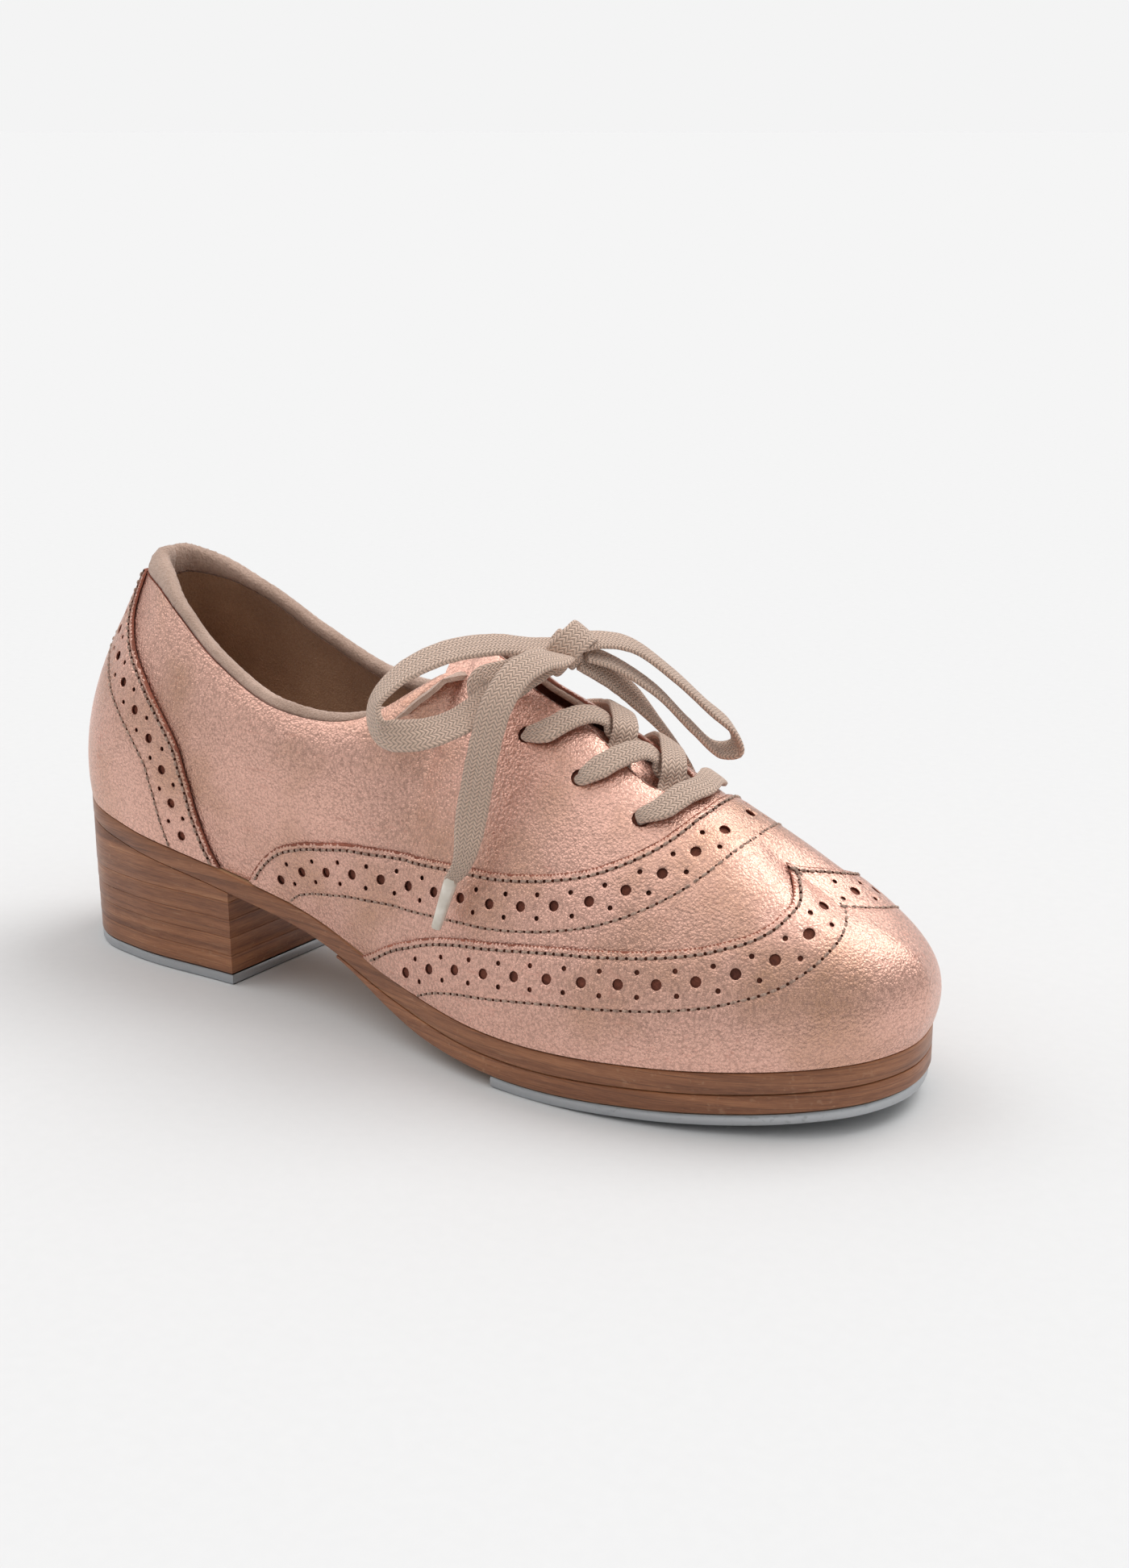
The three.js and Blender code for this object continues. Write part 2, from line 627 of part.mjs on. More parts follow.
// A headed fastener driven down from the sole's top face, its point at the bottom.
function driven(x, y, radius, head, length, point, sides) {
  const seat = fastenerTop(x, head);
  const profile = [
    [0, seat - length], [radius, seat - length + point], [radius, seat], [head, seat], [head, seat + 0.7],
    [0, seat + 0.7],
  ];
  return turned(profile, x, y, sides);
}

add('heel_screw', driven(...HEEL_SCREW, HEEL_SCREW_RADIUS, 3, HEEL_SCREW_LENGTH, 4, 10), STEEL);
NAIL_PLACES.forEach(([x, y], n) => {
  add(`heel_nail_${n + 1}`, driven(x, y, NAIL_RADIUS, 1.8, NAIL_LENGTH, 3, 8), STEEL);
});

// ---- Upper ----

const QUARTER = [-LEATHER, 0];
const OVERLAY = [CLEAR, CLEAR + LEATHER];
const WING = [2 * CLEAR + LEATHER, 2 * CLEAR + 2 * LEATHER];
const COUNTER = [-2.6, -LEATHER - CLEAR];
const LINING = [-3.9, -2.9];
const TOE_PUFF = [-0.4, CLEAR + LEATHER];
const outerSide = (s) => 0.5 - s;
const innerSide = (s) => s - 0.5;
const aboveVampLap = (s, t) => t - vampEdge(reach(s)) + UNDERLAP;
const belowFacing = (s, t) => facingEdge(reach(s)) - t;
const behindThroat = (s) => 0.84 - reach(s);
const offBackSeam = (s) => reach(s) - BACK_SEAM;

// Pairs of holes along each facing, reach and rib share of each.
const eyeletReach = (n) => mix(0.74, 0.517, n / (EYELET_COUNT - 1));
const eyeletShare = curveOf([[0.517, 0.755], [0.604, 0.765], [0.675, 0.735], [0.74, 0.72]], 1);

function eyeletCutter(n, side) {
  const u = eyeletReach(n);
  const s = stationOf(u, side);
  const geometry = new THREE.CylinderGeometry(EYELET_DIAMETER / 2, EYELET_DIAMETER / 2, 8, 10);
  const turn = new THREE.Quaternion().setFromUnitVectors(v(0, 1, 0), surfaceNormal(s, eyeletShare(u)));
  geometry.applyQuaternion(turn);
  const place = surface(s, eyeletShare(u));
  geometry.translate(place.x, place.y, place.z);
  return geometry;
}

for (const [name, side, half] of [['lateral', -1, outerSide], ['medial', 1, innerSide]]) {
  const keeps = [half, offBackSeam, behindThroat, aboveVampLap, belowFacing];
  const holes = Array.from({ length: EYELET_COUNT }, (_, n) => eyeletCutter(n, side));
  add(`quarter_${name}`, cut(shell(...QUARTER, keeps), holes), ROSE_LEATHER);
  const liningTop = (s, t) => 0.64 + smooth((0.47 - reach(s)) / 0.1) * 0.5 - t;
  const liningFront = (s) => 0.515 - reach(s);
  add(`quarter_lining_${name}`, shell(...LINING, [half, offBackSeam, liningFront, liningTop]), RAW_LINING);
}

const belowVampEdge = (s, t) => vampEdge(reach(s)) - t;
const aboveWingLap = (s, t) => t - wingEdge(reach(s)) + UNDERLAP + 0.05 * smooth((reach(s) - 0.85) / 0.1);
const inFront = (start) => (s) => reach(s) - start;
add('vamp', shell(...OVERLAY, [inFront(0.296), belowVampEdge, aboveWingLap]), ROSE_LEATHER);
add('wingtip', shell(...WING, [inFront(0.44), (s, t) => wingEdge(reach(s)) - t]), ROSE_LEATHER);
const puffEdge = (s, t) => wingEdge(reach(s)) - UNDERLAP - 0.1 - t;
add('toe_puff', shell(...TOE_PUFF, [inFront(0.72), puffEdge]), STIFFENER);
const liningCap = (s, t) => 0.64 + smooth((reach(s) - 0.8) / 0.05) * 0.5 - t;
add('vamp_lining', shell(...LINING, [inFront(0.52), liningCap]), RAW_LINING);
add('heel_foxing', shell(...OVERLAY, [(s, t) => foxingEdge(t) - reach(s)]), ROSE_LEATHER);
const counterFront = (s, t) => 0.235 - 0.06 * t - reach(s);
add('heel_counter', shell(...COUNTER, [counterFront, (s, t) => 0.72 - t]), STIFFENER);

// The tongue runs under the facings from the throat and ends past the top of the lacing.
const TONGUE = [-5.8, -4.5];
const TONGUE_BASE = 0.86;
const TONGUE_BEND = 0.5;
const TONGUE_TAIL = 12;
const tongueShare = curveOf([[0.5, 0.33], [0.7, 0.31], [0.86, 0.26]], 1);

function tongueRing(u, shift, narrow) {
  const ring = [];
  const count = 12;
  for (const height of TONGUE) {
    const row = [];
    for (let k = 0; k <= count; k += 1) {
      const across = (2 * k) / count - 1;
      const side = across < 0 ? -1 : 1;
      const t = 1 - Math.abs(across) * tongueShare(u) * narrow;
      row.push(lift(stationOf(u, side), t, height).addScaledVector(v(-1, 0, 0.22), shift));
    }
    if (height === TONGUE[0]) ring.push(...row);
    else ring.push(...row.reverse());
  }
  return ring;
}

const tongueRings = [];
for (const [shift, narrow] of [[1, 0.62], [0.8, 0.85], [0.5, 0.98]]) {
  tongueRings.push(tongueRing(TONGUE_BEND, TONGUE_TAIL * shift, narrow));
}
for (let k = 0; k <= 8; k += 1) tongueRings.push(tongueRing(mix(TONGUE_BEND, TONGUE_BASE, k / 8), 0, 1));
add('tongue', loft(tongueRings), ROSE_LEATHER);

// Soft rolled collar standing on the top edge, tallest at the back.
const COLLAR_END = 0.39;
const collarRings = [];
const COLLAR_STEPS = 36;
for (let k = 0; k <= COLLAR_STEPS; k += 1) {
  const u = Math.abs(mix(-COLLAR_END, COLLAR_END, k / COLLAR_STEPS));
  const s = stationOf(u, k < COLLAR_STEPS / 2 ? -1 : 1);
  const normal = surfaceNormal(s, 1);
  const upward = surface(s, 1).sub(surface(s, 0.97)).normalize();
  const height = mix(COLLAR_HEEL_HEIGHT, COLLAR_SIDE_HEIGHT, smooth(u / 0.16));
  const centre = lift(s, 1, LINING[0] / 2).addScaledVector(upward, height / 2 + 2 * CLEAR);
  const ring = [];
  for (let n = 0; n < 10; n += 1) {
    const angle = ((n + 0.5) / 10) * 2 * Math.PI;
    ring.push(centre.clone()
      .addScaledVector(normal, (Math.cos(angle) * COLLAR_WIDTH) / 2)
      .addScaledVector(upward, (Math.sin(angle) * height) / 2));
  }
  collarRings.push(ring);
}
add('collar_binding', loft(collarRings), RAW_LINING);

// ---- Lacing ----

const CROSS_WIDTH = 6.2;

// A place over the lacing: row 0 is the lowest pair of holes, share is the rib share on that side.
function overLacing(row, side, share, height) {
  return lift(stationOf(eyeletReach(row), side), share, height);
}
const holeShare = (row) => eyeletShare(eyeletReach(row));
const overLacingNormal = (row, side, share) => surfaceNormal(stationOf(eyeletReach(row), side), share);

const MOUTH = 0.7;              // height of a strand's centre where it leaves its hole

// Each route row: the start side or the other, rib share (0 is the hole's), height, rows moved to the toe.
function laced(start, side, route, steps, tapers) {
  const places = route.map(([facing, share, height, moved]) => {
    const row = start - moved;
    const t = share === 0 ? holeShare(row) : share;
    return [overLacing(row, side * facing, t, height), overLacingNormal(row, side * facing, t)];
  });
  return strand(places.map(([p]) => p), places.map(([, n]) => n), CROSS_WIDTH, steps, tapers);
}

const BAR_ROUTE = [
  [-1, 0, MOUTH, 0], [-1, 0.774, 1.8, 0.32], [-1, 0.886, 2.2, 0.71], [1, 1, 2.2, 1.02], [1, 0.886, 2.2, 0.71],
  [1, 0.774, 1.8, 0.32], [1, 0, MOUTH, 0],
];
add('lace_bar', laced(0, 1, BAR_ROUTE, 14, [0.4, 0.4]), COTTON);

const UNDER_ROUTE = [
  [1, 0, MOUTH, 0.05], [1, 0.8, 1.8, 0.35], [1, 0.875, 2, 0.62], [1, 0.94, 1.9, 0.85], [1, 0.985, 0.7, 1.06],
  [-1, 0.995, -2, 1.2], [-1, 0.965, -3, 1.32], [-1, 0.9, -3.1, 1.5],
];
const OVER_ROUTE = [
  [1, 0, MOUTH, 0], [1, 0.8, 1.9, 0.45], [1, 0.9, 2.3, 0.95], [-1, 0.995, 1.75, 1.42], [-1, 0.965, -0.9, 1.5],
  [-1, 0.935, -2.6, 1.51], [-1, 0.86, -2.8, 1.54],
];
for (const row of [1, 2]) {
  add(`lace_under_${row + 1}_lateral`, laced(row, -1, UNDER_ROUTE, 12, [0.4, 1]), COTTON);
  add(`lace_over_${row + 1}_medial`, laced(row, 1, OVER_ROUTE, 12, [0.4, 1]), COTTON);
}

// The bow: knot, two loops and two free ends, at rest against the instep. Its places are drawn on a last
// of this length and width, and move with the shoe's own.
const BOW_LAST_LENGTH = 248;
const BOW_LAST_WIDTH = 78;
function onInstep(x, y, z) {
  return v(x * SHOE_LENGTH / BOW_LAST_LENGTH, y * BALL_WIDTH / BOW_LAST_WIDTH, z);
}
const KNOT = onInstep(154.5, 0, 97.5);
const knot = new THREE.SphereGeometry(1, 12, 8);
knot.scale(5, 6.5, 4.5);
knot.translate(KNOT.x, KNOT.y, KNOT.z);
add('lace_knot', cut(knot, []), COTTON);

const TOP_ROW = EYELET_COUNT - 1;
for (const [name, side] of [['lateral', -1], ['medial', 1]]) {
  const points = [
    overLacing(TOP_ROW, side, holeShare(TOP_ROW), MOUTH),
    overLacing(TOP_ROW, side, holeShare(TOP_ROW) + 0.05, 2.3),
    onInstep(144, side * 8.5, 92.5),
    onInstep(148, side * 5, 94.8),
  ];
  const faces = [1, 1, 1, 1].map(() => overLacingNormal(TOP_ROW, side, 0.85));
  add(`lace_tie_${name}`, strand(points, faces, CROSS_WIDTH, 8, [0.4, 1]), COTTON);
}

const BOW = {
  lace_loop_lateral: [
    [[150.5, -7, 98.6], [146, -16, 100.4], [139, -28, 99.5], [133, -38, 94.5], [131, -43, 88.8],
      [134, -44.5, 83.8], [140.5, -40.6, 83], [145.6, -32.3, 84.6], [148.4, -20, 88.9], [150.4, -9, 93]],
    [[0.2, -0.35, 0.92], [0.1, -0.6, 0.8], [-0.2, -0.85, 0.5], [-0.5, -0.85, 0.1], [-0.1, -0.95, 0.2],
      [0.4, -0.8, 0.45], [0.4, -0.7, 0.6]],
    22,
  ],
  lace_loop_medial: [
    [[158.5, 6.5, 99], [163.5, 14, 97], [170.5, 22, 89], [176, 29, 80.5], [180, 34, 74.5],
      [181, 36.5, 69], [177.5, 34.5, 66.8], [173.2, 27.4, 75], [167.6, 18.4, 85.6], [160.8, 9, 93.6]],
    [[0.5, 0, 0.87], [0.6, 0.1, 0.8], [0.75, 0.3, 0.6], [0.8, 0.6, 0], [0.3, 0.2, -0.9],
      [0.6, -0.2, 0.75], [0.6, -0.2, 0.75]],
    22,
  ],
  lace_end_lateral: [
    [[157.4, -8.6, 97.3], [157.4, -15, 98], [156.2, -22.2, 95.8], [154.8, -27.8, 89.6], [153, -30.2, 80],
      [150.2, -31.2, 65.4], [149, -34, 52], [146.3, -35.2, 47.4]],
    [[0.3, -0.3, 0.9], [0.4, -0.6, 0.7], [0.4, -0.85, 0.35], [0.4, -0.9, 0.1], [0.4, -0.9, 0.15]],
    16,
  ],
  lace_end_medial: [
    [[158.4, 8, 91.4], [161.8, 15, 85.4], [165.9, 22, 76.8], [168, 29.5, 67.6], [168.3, 35.5, 57.5],
      [168, 38.5, 48]],
    [[0.6, -0.3, 0.7], [0.6, -0.2, 0.75], [0.6, 0.4, 0.6], [0.5, 0.8, 0.3], [0.4, 0.9, 0.2]],
    14,
  ],
};
for (const [name, [points, faces, steps]] of Object.entries(BOW)) {
  const ends = name.startsWith('lace_end') ? [1, 0.5] : [1, 1];
  const route = points.map((p) => onInstep(...p));
  add(name, strand(route, faces.map((f) => v(...f).normalize()), LACE_WIDTH, steps, ends), COTTON);
}

// Tapered plastic tips, drawn on past the cut ends of the lace.
const AGLETS = {
  aglet_lateral: [[146, -35.3, 46.9], [143.2, -37, 35.6]],
  aglet_medial: [[167.9, 38.7, 47.4], [167.4, 40.5, 35.6]],
};
for (const [name, [from, to]] of Object.entries(AGLETS)) {
  const [a, b] = [onInstep(...from), onInstep(...to)];
  const tip = new THREE.CylinderGeometry(1.1, 1.6, a.distanceTo(b), 10);
  tip.applyQuaternion(new THREE.Quaternion().setFromUnitVectors(v(0, 1, 0), b.clone().sub(a).normalize()));
  const middle = a.clone().add(b).multiplyScalar(0.5);
  tip.translate(middle.x, middle.y, middle.z);
  add(name, cut(tip, []), CLEAR_PLASTIC);
}

// The origin is the middle of the shoe's footprint, on the floor; the lacing is left out of it.
const extent = new THREE.Box3();
for (const mesh of group.children) {
  if (!/^(lace|aglet)/.test(mesh.name)) extent.expandByObject(mesh);
}
const middle = extent.getCenter(v(0, 0, 0));
group.position.set(-middle.x, -middle.y, -extent.min.z);

export default group;
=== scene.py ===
import math

import bmesh
import bpy
import numpy as np
from mathutils import Matrix, Vector
from mathutils.geometry import delaunay_2d_cdt


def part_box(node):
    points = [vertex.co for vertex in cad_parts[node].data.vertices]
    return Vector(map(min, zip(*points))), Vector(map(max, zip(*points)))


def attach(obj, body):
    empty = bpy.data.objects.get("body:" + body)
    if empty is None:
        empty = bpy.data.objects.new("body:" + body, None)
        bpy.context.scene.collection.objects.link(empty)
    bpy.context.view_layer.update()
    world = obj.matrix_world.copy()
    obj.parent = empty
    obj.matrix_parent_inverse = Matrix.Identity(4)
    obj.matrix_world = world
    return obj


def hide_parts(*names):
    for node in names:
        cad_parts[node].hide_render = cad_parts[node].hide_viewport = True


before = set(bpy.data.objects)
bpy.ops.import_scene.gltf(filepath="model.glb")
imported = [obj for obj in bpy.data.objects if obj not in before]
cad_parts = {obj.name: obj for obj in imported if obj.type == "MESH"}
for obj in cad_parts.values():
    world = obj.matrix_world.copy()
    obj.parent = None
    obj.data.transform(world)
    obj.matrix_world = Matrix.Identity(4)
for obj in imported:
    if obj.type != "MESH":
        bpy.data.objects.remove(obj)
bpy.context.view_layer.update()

bl_info = {
    "name": "Tap shoe",
    "version": (1, 0, 0),
    "blender": (4, 5, 0),
    "location": "View3D > Sidebar > Tap shoe",
    "description": "Builds the leather, lacing, sole and taps of an oxford tap shoe on its frame",
    "category": "Object",
}

# ---- Sizes of the last, in millimetres, as the frame has them ----

SHOE_LENGTH = 248
BALL_WIDTH = 78
HEEL_WIDTH = 56
HEEL_RISE = 44
BALL_RISE = 13.4
INSTEP_HEIGHT = 80
HEEL_BREAST = 66
OUTSOLE_THICKNESS = 5.2
FOREFOOT_THICKNESS = 4.4
FOREFOOT_START = 104
TAP_THICKNESS = 2.8
TOE_TAP_START = 160
LIFT_COUNT = 4
LIFT_PITCH = 5
LEATHER = 1.1
CLEAR = 0.3
MM = 0.001
TURN = 2 * math.pi

UP = np.array([0.0, 0.0, 1.0])
NUDGE = 1e-3
SHIFT = np.array(
    [
        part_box("forefoot_sole")[0][0] / MM - FOREFOOT_START,
        (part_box("shank")[0][1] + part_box("shank")[1][1]) / 2 / MM,
        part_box("heel_tap")[0][2] / MM,
    ]
)


def metres(points):
    """Points of the last, in millimetres, as row-frame metres."""
    return (np.asarray(points, float) + SHIFT) * MM


# ---- Curves ----


class Curve:
    """A smooth curve through knots, evaluated on arrays."""

    def __init__(self, knots, values):
        self.k = np.asarray(knots, float)
        self.v = np.asarray(values, float)
        step = np.diff(self.k)
        slope = np.diff(self.v) / step
        self.m = np.empty_like(self.v)
        self.m[0], self.m[-1] = slope[0], slope[-1]
        self.m[1:-1] = (slope[:-1] * step[1:] + slope[1:] * step[:-1]) / (step[:-1] + step[1:])

    def __call__(self, x):
        q = np.clip(np.asarray(x, float), self.k[0], self.k[-1])
        i = np.clip(np.searchsorted(self.k, q, side="right") - 1, 0, len(self.k) - 2)
        h = self.k[i + 1] - self.k[i]
        t = (q - self.k[i]) / h
        rising = t * t * (3 - 2 * t)
        return (
            (1 - rising) * self.v[i]
            + rising * self.v[i + 1]
            + t * (1 - t) ** 2 * h * self.m[i]
            + t * t * (t - 1) * h * self.m[i + 1]
        )


def curve_of(rows, column):
    return Curve([row[0] for row in rows], [row[column] for row in rows])


def smooth(x):
    x = np.clip(x, 0, 1)
    return x * x * (3 - 2 * x)


def mix(a, b, w):
    return a + (b - a) * w


# ---- Sole outline: reach, share of length, share of width on the outer and inner side ----

OUTLINE = [
    (0, 0, 0, 0),
    (0.05, 0.016, 0.25, 0.25),
    (0.10, 0.058, 0.43, 0.43),
    (0.16, 0.125, 0.5, 0.5),
    (0.26, 0.25, 0.48, 0.455),
    (0.36, 0.371, 0.42, 0.33),
    (0.47, 0.5, 0.44, 0.325),
    (0.58, 0.633, 0.5, 0.44),
    (0.68, 0.754, 0.494, 0.5),
    (0.78, 0.863, 0.404, 0.48),
    (0.87, 0.945, 0.256, 0.397),
    (0.94, 0.986, 0.103, 0.263),
    (1, 1, -0.07, 0.07),
]


def width_at(u):
    return mix(HEEL_WIDTH, BALL_WIDTH, smooth((u - 0.2) / 0.38))


def closed_outline():
    loop = [(u / 2, x * SHOE_LENGTH, -outer * width_at(u)) for u, x, outer, _ in OUTLINE]
    inner_side = OUTLINE[1:-1][::-1]
    loop += [(1 - u / 2, x * SHOE_LENGTH, inner * width_at(u)) for u, x, _, inner in inner_side]
    before = [(s - 1, x, y) for s, x, y in loop[-3:]]
    after = [(s + 1, x, y) for s, x, y in loop[:4]]
    rows = before + loop + after
    return curve_of(rows, 1), curve_of(rows, 2)


outline_x, outline_y = closed_outline()


def wrap(s):
    return s - np.floor(s)


def reach(s):
    s = wrap(np.asarray(s, float))
    return np.where(s <= 0.5, 2 * s, 2 * (1 - s))


def station(u, side):
    return u / 2 if side < 0 else 1 - u / 2


def outward(s):
    e = NUDGE
    w = wrap(np.asarray(s, float))
    dx = outline_x(w + e) - outline_x(w - e)
    dy = outline_y(w + e) - outline_y(w - e)
    n = np.stack([dy, -dx, np.zeros_like(dx)], -1)
    return n / np.linalg.norm(n, axis=-1, keepdims=True)


def outline_point(s, inset):
    w = wrap(np.asarray(s, float))
    p = np.stack([outline_x(w), outline_y(w), np.zeros_like(w)], -1)
    return p - outward(w) * np.asarray(inset, float)[..., None]


PITCH = [
    (0, 1), (0.12, 0.79), (0.24, 0.62), (0.38, 0.4), (0.52, 0.11), (0.65, 0), (0.81, 0.036), (1, 0.15),
]
pitch = curve_of(PITCH, 1)


def sole_top(x):
    return BALL_RISE + (HEEL_RISE - BALL_RISE) * pitch(np.asarray(x) / SHOE_LENGTH)


def outsole_bottom(x):
    return sole_top(x) - CLEAR - OUTSOLE_THICKNESS


def forefoot_bottom(x):
    full = OUTSOLE_THICKNESS + CLEAR + FOREFOOT_THICKNESS
    skive = smooth((x - FOREFOOT_START) / 34)
    return sole_top(x) - CLEAR - mix(OUTSOLE_THICKNESS + CLEAR + 0.8, full, skive)


# ---- Surface of the upper, as ribs from the sole edge to the top edge or the vamp's ridge ----

CREST = [
    (0, 0.075, 0, 0, 0.765),
    (0.05, 0.09, 7.9, 8.2, 0.785),
    (0.10, 0.13, 13.6, 14.6, 0.785),
    (0.16, 0.178, 18.4, 19.2, 0.745),
    (0.23, 0.248, 22.4, 22.4, 0.662),
    (0.30, 0.337, 24, 23.4, 0.61),
    (0.37, 0.43, 20.6, 20, 0.686),
    (0.42, 0.487, 12.4, 12.4, 0.85),
    (0.47, 0.527, 0, 0, 0.98),
    (0.58, 0.603, 0, 0, 0.93),
    (0.70, 0.692, 0, 0, 0.824),
    (0.80, 0.765, 0, 0, 0.7),
    (0.90, 0.831, 0, 0, 0.58),
    (1, 0.875, 0, 0, 0.47),
]
RIDGE_START = 0.47
crest_x, crest_outer, crest_inner, crest_height = (curve_of(CREST, c) for c in (1, 2, 3, 4))
RIBS = [
    (0, 4.4, 23.4, 22.8, 67),
    (0.10, 2.9, 22.8, 18.5, 64.5),
    (0.26, 1.6, 20.2, 14, 62),
    (0.36, 2.1, 17.7, 13.4, 48),
    (0.47, 2.6, 13.5, 15, 20),
    (0.58, 1.9, 12, 19, 14),
    (0.68, 2.3, 12.8, 20.4, 12),
    (0.78, 4, 14.7, 18.6, 12),
    (0.87, 6.2, 19, 18, 14),
    (0.94, 9, 23, 19.8, 16),
    (1, 10.6, 26, 23, 20),
]
swell, rise, pull, droop = (curve_of(RIBS, c) for c in (1, 2, 3, 4))
INSET_HEEL = 1.4
INSET_TOE = 2.6


def crest_point(u, side):
    half = np.where(side < 0, crest_outer(u), crest_inner(u))
    half = np.where(u < RIDGE_START, np.maximum(half, 0), 0)
    x = crest_x(u) * SHOE_LENGTH
    return np.stack([x, side * half, sole_top(x) + crest_height(u) * INSTEP_HEIGHT], -1)


def ribs(s):
    w = wrap(np.asarray(s, float))
    u = reach(w)
    side = np.where(w <= 0.5, -1.0, 1.0)
    foot = outline_point(w, mix(INSET_HEEL, INSET_TOE, smooth((u - 0.36) / 0.2)))
    foot[..., 2] = sole_top(foot[..., 0])
    crest = crest_point(u, side)
    out = outward(w)
    e = 2e-3
    ahead = crest_point(np.minimum(u + e, 1), side)
    behind = crest_point(np.maximum(u - e, 0), side)
    fall = (ahead[..., 2] - behind[..., 2]) / (ahead[..., 0] - behind[..., 0])
    angle = np.radians(droop(u))[..., None]
    shoulder = out * np.cos(angle) - UP * np.sin(angle)
    ridge = out + UP * (fall * out[..., 0])[..., None]
    ridge /= np.linalg.norm(ridge, axis=-1, keepdims=True)
    lean = mix(shoulder, ridge, smooth((u - 0.38) / 0.09)[..., None])
    low = foot + out * swell(u)[..., None] + UP * rise(u)[..., None]
    return foot, low, crest + lean * pull(u)[..., None], crest


def surface(s, t):
    s, t = np.broadcast_arrays(np.asarray(s, float), np.asarray(t, float))
    a, b, c, d = ribs(s)
    t = t[..., None]
    r = 1 - t
    return a * r**3 + b * 3 * t * r * r + c * 3 * t * t * r + d * t**3


def normal(s, t):
    s, t = np.broadcast_arrays(np.asarray(s, float), np.asarray(t, float))
    e = NUDGE
    along = surface(s + e, t) - surface(s - e, t)
    upward = surface(s, np.minimum(t + e, 1)) - surface(s, np.maximum(t - e, 0))
    n = np.cross(along, upward)
    n /= np.maximum(np.linalg.norm(n, axis=-1, keepdims=True), 1e-12)
    foot = outward(s)
    n = np.where((t < 1e-6)[..., None], foot, n)
    u = reach(s)
    step = crest_point(np.minimum(u + e, 1), 1.0) - crest_point(np.maximum(u - e, RIDGE_START), 1.0)
    top = np.stack([-step[..., 2], np.zeros_like(u), step[..., 0]], -1)
    top /= np.maximum(np.linalg.norm(top, axis=-1, keepdims=True), 1e-12)
    return np.where(((t > 1 - 1e-6) & (u >= RIDGE_START))[..., None], top, n)


def lifted(s, t, height):
    return surface(s, t) + normal(s, t) * np.asarray(height, float)[..., None]


# ---- Seam lines: rib share at each reach ----

WING_EDGE = [
    (0.435, 0), (0.467, 0.125), (0.5, 0.195), (0.55, 0.26), (0.6, 0.3), (0.65, 0.33), (0.7, 0.352),
    (0.76, 0.387), (0.81, 0.43), (0.85, 0.485), (0.88, 0.56), (0.905, 0.65), (0.93, 0.8), (0.96, 0.95),
    (1, 1.04),
]
VAMP_EDGE = [
    (0.295, 0), (0.306, 0.1), (0.323, 0.219), (0.348, 0.312), (0.381, 0.366), (0.431, 0.375),
    (0.487, 0.378), (0.53, 0.4), (0.57, 0.43), (0.61, 0.457), (0.65, 0.49), (0.69, 0.535), (0.73, 0.605),
    (0.765, 0.69), (0.8, 0.81), (0.83, 0.95), (0.85, 1.1), (1, 1.4),
]
FOXING_EDGE = [
    (0, 0.263), (0.044, 0.256), (0.175, 0.242), (0.356, 0.225), (0.513, 0.2), (0.625, 0.156),
    (0.7, 0.118), (0.8, 0.082), (0.9, 0.064), (1.05, 0.052),
]
FACING_EDGE = [(0.4, 1.1), (0.455, 0.945), (0.52, 0.93), (0.66, 0.915), (0.78, 0.9), (0.82, 1.05)]
wing_edge, vamp_edge = curve_of(WING_EDGE, 1), curve_of(VAMP_EDGE, 1)
foxing_edge, facing_edge = curve_of(FOXING_EDGE, 1), curve_of(FACING_EDGE, 1)
UNDERLAP = 0.12
BACK_SEAM = 0.0015


# ---- Mesh helpers ----


def new_object(name, verts, faces, materials, slots=None, body="shoe"):
    mesh = bpy.data.meshes.new(name)
    mesh.from_pydata([tuple(v) for v in verts], [], [tuple(f) for f in faces])
    for m in materials:
        mesh.materials.append(m)
    if slots is not None:
        mesh.polygons.foreach_set("material_index", np.asarray(slots, dtype=np.int32))
    mesh.update()
    obj = bpy.data.objects.new(name, mesh)
    bpy.context.scene.collection.objects.link(obj)
    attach(obj, body)
    return obj


def walls(count, sides, start=0):
    """Faces of a closed solid through rings of points: its walls, then both ends."""
    faces = []
    for r in range(count - 1):
        for k in range(sides):
            a, b = start + r * sides + k, start + r * sides + (k + 1) % sides
            faces.append((a, b, b + sides, a + sides))
    last = start + (count - 1) * sides
    return [*faces, tuple(start + k for k in reversed(range(sides))), tuple(last + k for k in range(sides))]


def face_outwards(obj):
    bm = bmesh.new()
    bm.from_mesh(obj.data)
    bmesh.ops.recalc_face_normals(bm, faces=bm.faces)
    bm.to_mesh(obj.data)
    bm.free()


def shade(obj, angle):
    obj.data.shade_smooth()
    obj.data.set_sharp_from_angle(angle=math.radians(angle))


def set_normals(obj, vertex_normals, smooth_slots=(0,)):
    """Smooth faces take the surface's own normals; the rest keep their flat ones."""
    mesh = obj.data
    mesh.validate()
    mesh.shade_smooth()
    loops = len(mesh.loops)
    corner = np.zeros(loops, dtype=np.int32)
    mesh.loops.foreach_get("vertex_index", corner)
    sizes, kinds = np.zeros((2, len(mesh.polygons)), dtype=np.int32)
    mesh.polygons.foreach_get("loop_total", sizes)
    mesh.polygons.foreach_get("material_index", kinds)
    flat = np.zeros(3 * len(mesh.polygons))
    mesh.polygons.foreach_get("normal", flat)
    per_face = np.repeat(flat.reshape(-1, 3), sizes, axis=0)
    known = np.array([n is not None for n in vertex_normals])
    given = np.array([n if n is not None else (0, 0, 1) for n in vertex_normals], float)
    use_given = np.isin(np.repeat(kinds, sizes), smooth_slots) & known[corner]
    normals = np.where(use_given[:, None], given[corner], per_face)
    bad = ~np.isfinite(normals).all(1) | (np.linalg.norm(normals, axis=1) < 1e-6)
    normals[bad] = (0, 0, 1)
    mesh.normals_split_custom_set([tuple(n) for n in normals.tolist()])


